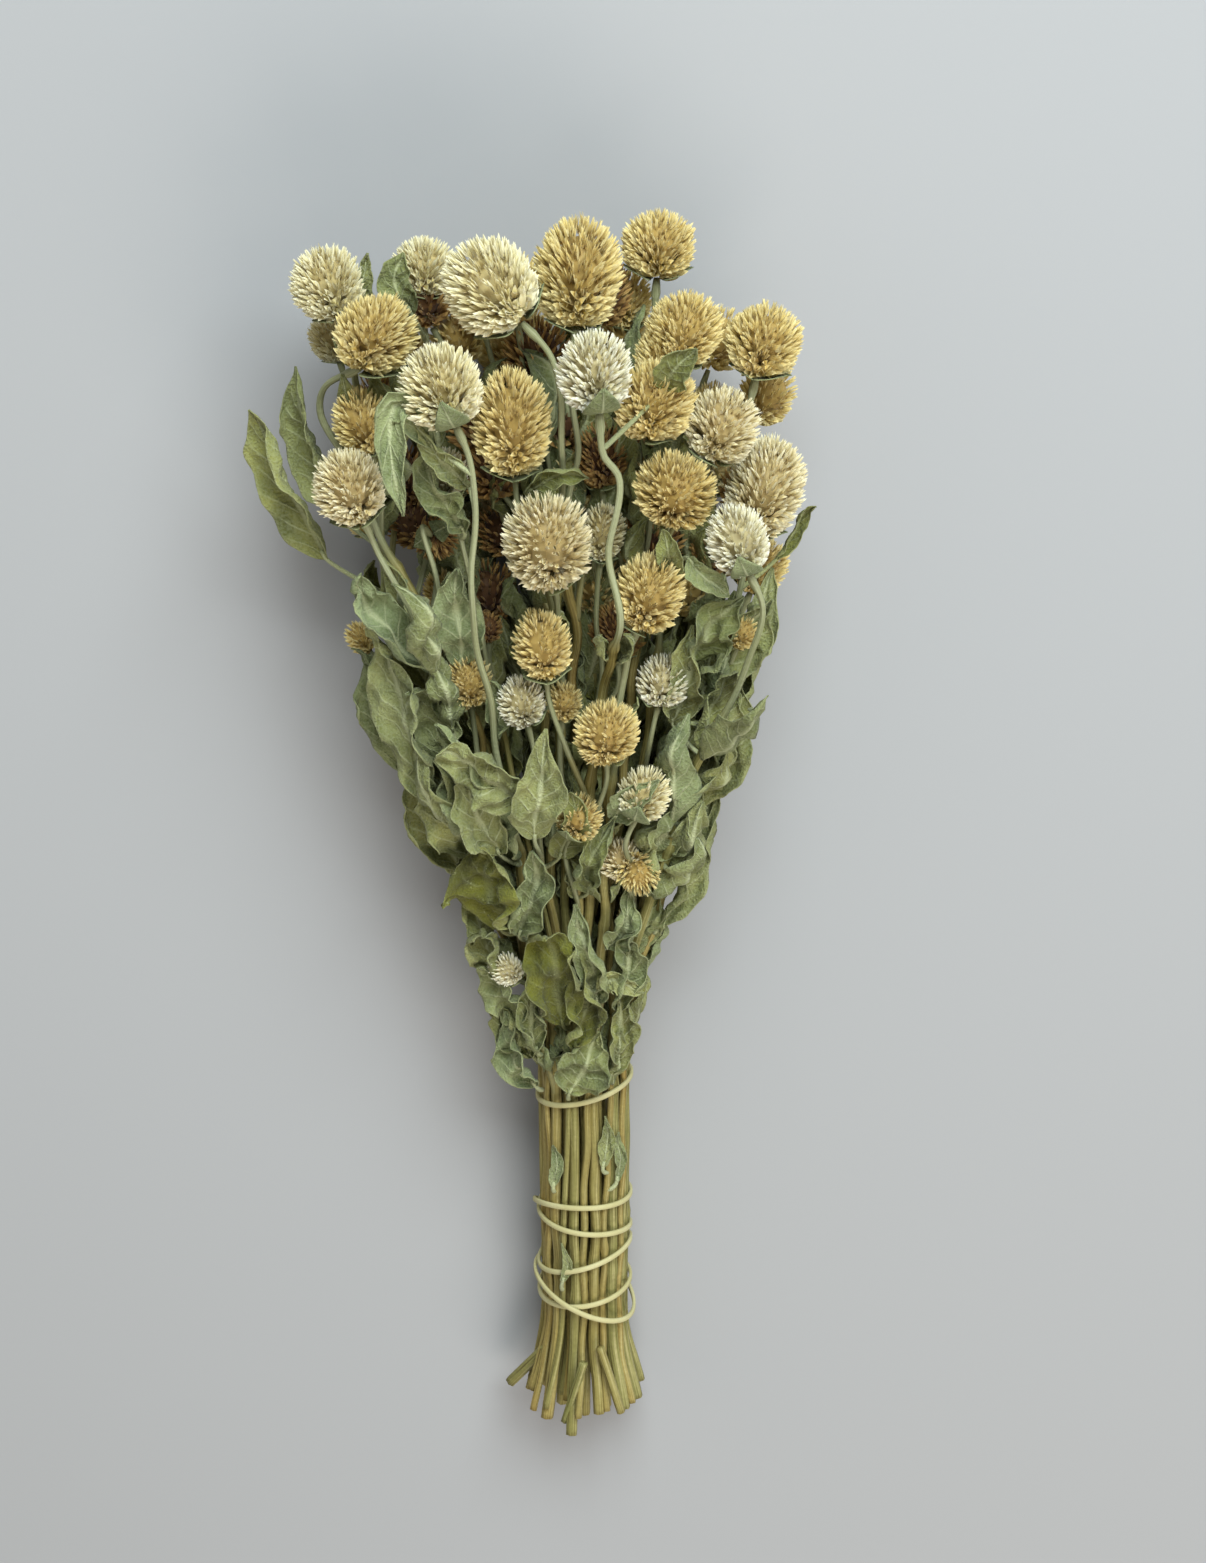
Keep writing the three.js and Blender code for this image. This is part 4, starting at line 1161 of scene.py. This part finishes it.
# The other leaves stand in pairs at the joints of the stalks, folded up against them. They are large
# down both sides and inside the bunch, and small where the heads show in front.
LEAF_JOINTS = (150, 182, 214, 246, 278, 310, 342, 372)
LEAF_FREE = 25.0  # bare run below a head
BARE_LEFT, BARE_RIGHT, RIGHT_SIDE = 330.0, 300.0, 20.0  # no leaves in front above these
CLEAR_ACROSS, CLEAR_ALONG = 44.0, 340.0  # and none out past this corner at the upper right
SHORT_BELOW, SHORTER = 200.0, 0.6
INSIDE_DEPTH = 8.0  # a joint lies inside up to this far above the middle of the bunch
AT_FLANK = 0.6  # share of the way out to a side from which leaves are large
LOWEST_TIP, LOWEST_BLADE = 4.0, 0.8
OFF_MIDDLE = 1.8  # from a stalk's middle line to a leaf's foot
PAIR_GRID = (22, 12)
leaf_chance = np.random.default_rng(21)


def flank(along):
    """How far the bunch's left and right sides lie from the middle at a distance from the cut ends."""
    return -27 - 0.36 * (along - 177), 20 + 0.32 * (along - 177)


for host, route in routes.items():
    shape = Shape()
    aheads = side_frames(route)[0]
    for joint in LEAF_JOINTS:
        joint = joint + leaf_chance.uniform(-9, 9)
        if joint > route[-1, 1] - LEAF_FREE:
            continue
        step = np.argmin(np.abs(route[:, 1] - joint))
        at, ahead = route[step], aheads[step]
        edge = max((at[0] - BUNDLE_ACROSS) / side for side in flank(at[1]))
        inside = at[2] < bundle_height(at[1]) + INSIDE_DEPTH
        if joint > (BARE_RIGHT if at[0] > RIGHT_SIDE else BARE_LEFT) and not inside:
            continue
        first = leaf_chance.uniform(0, math.pi)
        for half in (0, 1):
            turn = first + half * math.pi + leaf_chance.uniform(-0.5, 0.5)
            side = unit(np.cross(ahead, (0.1, 0.2, 1.0)))
            out = side * math.cos(turn) + np.cross(ahead, side) * math.sin(turn)
            big = inside or edge > AT_FLANK
            length = leaf_chance.uniform(28, 50) if big else leaf_chance.uniform(16, 28)
            if joint < SHORT_BELOW:
                length *= SHORTER
            if not big and (out[2] > 0.2 or leaf_chance.random() < 0.4):
                continue
            lean = leaf_chance.uniform(0.12, 0.45)
            tip = at + ahead * length * math.cos(lean) + out * length * math.sin(lean)
            low, high = flank(tip[1])
            if tip[1] > CLEAR_ALONG and tip[0] > CLEAR_ACROSS:
                continue
            tip[0] = np.clip(tip[0], low - 2, high + 2)
            tip[2] = max(tip[2], LOWEST_TIP)
            base = at + out * OFF_MIDDLE
            mid = (base + tip) / 2 + out * length * leaf_chance.uniform(0.02, 0.1)
            mid[2] = max(mid[2], LOWEST_TIP)
            width = length * leaf_chance.uniform(0.3, 0.42)
            # Inside the bunch the dark olive side shows more: partly the leaves' own colour, partly painted
            # shade for the depth of the bunch.
            olive = leaf_chance.uniform(0.6, 1.0) if inside else leaf_chance.uniform(0.0, 0.6)
            # Fold, roll, wave and twist.
            dried = [leaf_chance.uniform(*ends) for ends in ((0.3, 0.9), (0.3, 0.9), (1.1, 1.8), (-0.5, 0.5))]
            grid = leaf_grid([base, mid, tip], -out, width, *dried, leaf_chance, PAIR_GRID)
            grid[..., 2] = np.maximum(grid[..., 2], LOWEST_BLADE)
            add_blade(shape, grid, leaf_chance.random(), olive)
    if shape.count:
        shape.build(host + "_leaves", leaf_material, "dried_leaf")

# Each head but the narrowest and the old ones deep inside sits in a pair of small leafy bracts that clasp it
# from below.
# Heads whose leafy bract is large and lies in front:
LEAFY = (
    "head_low_right", "head_cream_bracted", "head_right_pale", "head_pale_drooping", "small_head_low_gold",
)
CLASP_ROWS, CLASP_COLUMNS = 10, 8
CLASP_ROOM = 1.03  # the clasp stands this much wider than its head
LOWEST_CLASP = 0.4
BARE_BUD = 11  # narrower heads have no clasp
clasp_chance = np.random.default_rng(5)
for name, (middle, width, length, points) in head_places.items():
    if width < BARE_BUD or name.startswith("inner"):
        continue
    axis = unit(points)
    side = unit(np.cross(axis, (0.2, 0.1, 1)))
    other = np.cross(axis, side)
    r, h = width / 2 * CLASP_ROOM, length / 2 * CLASP_ROOM
    leafy = name in LEAFY
    facing = math.atan2(other[2], side[2])
    start = facing + clasp_chance.uniform(-0.4, 0.4) + (0 if leafy else math.pi / 2)
    shape = Shape()
    for half in (0, 1):
        turn = start + half * math.pi + clasp_chance.uniform(-0.5, 0.5)
        out = side * math.cos(turn) + other * math.sin(turn)
        beside = np.cross(axis, out)
        reach = clasp_chance.uniform(1.2, 1.5) if leafy else clasp_chance.uniform(0.45, 0.85)
        wide = clasp_chance.uniform(0.2, 0.3) * width
        v = np.linspace(0, 1, CLASP_ROWS + 1)[:, None, None]
        u = np.linspace(-1, 1, CLASP_COLUMNS + 1)[None, :, None]
        polar = 0.12 + reach * v
        flare = 1.04 + 0.14 * v**3
        across = u * np.maximum(POINT_HALF, np.sin(math.pi * v**0.7) ** 0.8 * wide)
        bulge = r * np.sin(polar) * flare - across**2 / (2.2 * r) + 0.3 * np.sin(v * 9 + u * 3 + turn)
        grid = middle + out * bulge - axis * h * np.cos(polar) + beside * across
        grid[..., 2] = np.maximum(grid[..., 2], LOWEST_CLASP)
        add_blade(shape, grid, clasp_chance.uniform(0, 0.5), clasp_chance.uniform(0, 0.2))
    shape.build(name + "_clasp", leaf_material, "dried_leaf")


# ---------------------------------------------------------------------------
# Elastic bands. Two bands of pale natural rubber, stretched round the stalks by hand: one slanting turn at
# the neck, and one long band wound down the bundle, its last turn crossing back over the others.

BAND_WIDE, BAND_THICK = 0.95, 0.6  # half sizes of the flat strip
BAND_PULL = 0.7  # how far the thin band sits inside the frame's round one
UPPER_SLANT = 4.5
UPPER_STEPS, LOWER_STEPS = 120, 480
LAYER_GAP = 0.2
# Where the lower band crosses the bundle's left and right sides, in turn, along the bundle.
LOWER_PLACES = (84.5, 88, 81.5, 74, 58, 68, 46, 51, 55, 38)
# Half turns between which the band climbs onto its earlier turns, and comes down again.
CLIMB_FROM, CLIMB_TO, COME_DOWN = 7.4, 7.56, 0.5


def wind(turn, along, radius):
    out = np.stack([np.cos(turn), 0 * turn, np.sin(turn)], axis=-1)
    middle = np.stack([BUNDLE_ACROSS + 0 * turn, along + 0 * turn, bundle_height(along) + 0 * turn], axis=-1)
    return middle + out * np.asarray(radius)[..., None], out


def band_piece(name, node, centre, outward):
    """A closed flat strip: centre line points and the way that its flat face looks."""
    along = rows_unit(np.roll(centre, -1, axis=0) - np.roll(centre, 1, axis=0))
    wide = rows_unit(np.cross(along, outward))
    flat = np.cross(wide, along)
    corners = [(1, 0.5), (0.7, 1), (-0.7, 1), (-1, 0.5), (-1, -0.5), (-0.7, -1), (0.7, -1), (1, -0.5)]
    ring = np.stack([centre + wide * BAND_WIDE * a + flat * BAND_THICK * b for a, b in corners], axis=1)
    sides, steps = len(corners), len(centre)
    here = np.arange(steps)[:, None] * sides + np.arange(sides)
    beside = np.arange(steps)[:, None] * sides + (np.arange(sides) + 1) % sides
    quads = np.stack([here, beside, np.roll(beside, -1, axis=0), np.roll(here, -1, axis=0)], axis=-1)
    shape = Shape()
    shape.add(ring.reshape(-1, 3), quads.reshape(-1, 4)[:, ::-1], np.zeros((0, 3)), share=0.0)
    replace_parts(shape.build(name, band_material, "elastic_band"), node)


def make_band_material():
    material, tree, shader = dry_material("natural_rubber", 0.5)
    stain, fleck = aged(tree, 90.0, 2200.0)
    colour = mixed(tree, stain, (0.5, 0.45, 0.2, 1), (0.62, 0.57, 0.3, 1))
    colour = tinted(tree, colour, fleck, 0.25, (0.4, 0.34, 0.17, 1))
    tree.links.new(colour, shader.inputs["Base Color"])
    raise_surface(tree, shader, fleck, 0.3, 0.0001)
    return material


band_material = make_band_material()
turn = full_round(UPPER_STEPS)
centre, outward = wind(turn, NECK_ALONG + UPPER_SLANT * np.cos(turn), BUNDLE_RADIUS - BAND_PULL + 0 * turn)
band_piece("band_upper_strip", "band_upper", centre, outward)


def lower_band(halves):
    """Places on the lower band, by half turns gone since its highest place on the left."""
    count = len(LOWER_PLACES)
    whole = np.floor(halves).astype(int)
    t = halves - whole
    a, b, c, d = (np.take(LOWER_PLACES, (whole + k) % count) for k in (-1, 0, 1, 2))
    along = 0.5 * (2 * b + (c - a) * t + (2 * a - 5 * b + 4 * c - d) * t**2 + (3 * b - a - 3 * c + d) * t**3)
    lift = np.clip(np.maximum((halves - CLIMB_FROM) / (CLIMB_TO - CLIMB_FROM), 1 - halves / COME_DOWN), 0, 1)
    return along, lift


halves = np.linspace(0, len(LOWER_PLACES), LOWER_STEPS, endpoint=False)
along, lift = lower_band(halves)
radius = BUNDLE_RADIUS - BAND_PULL + lift * (2 * BAND_THICK + LAYER_GAP)
centre, outward = wind(math.pi - math.pi * halves, along, radius)
band_piece("band_lower_strip", "band_lower", centre, outward)
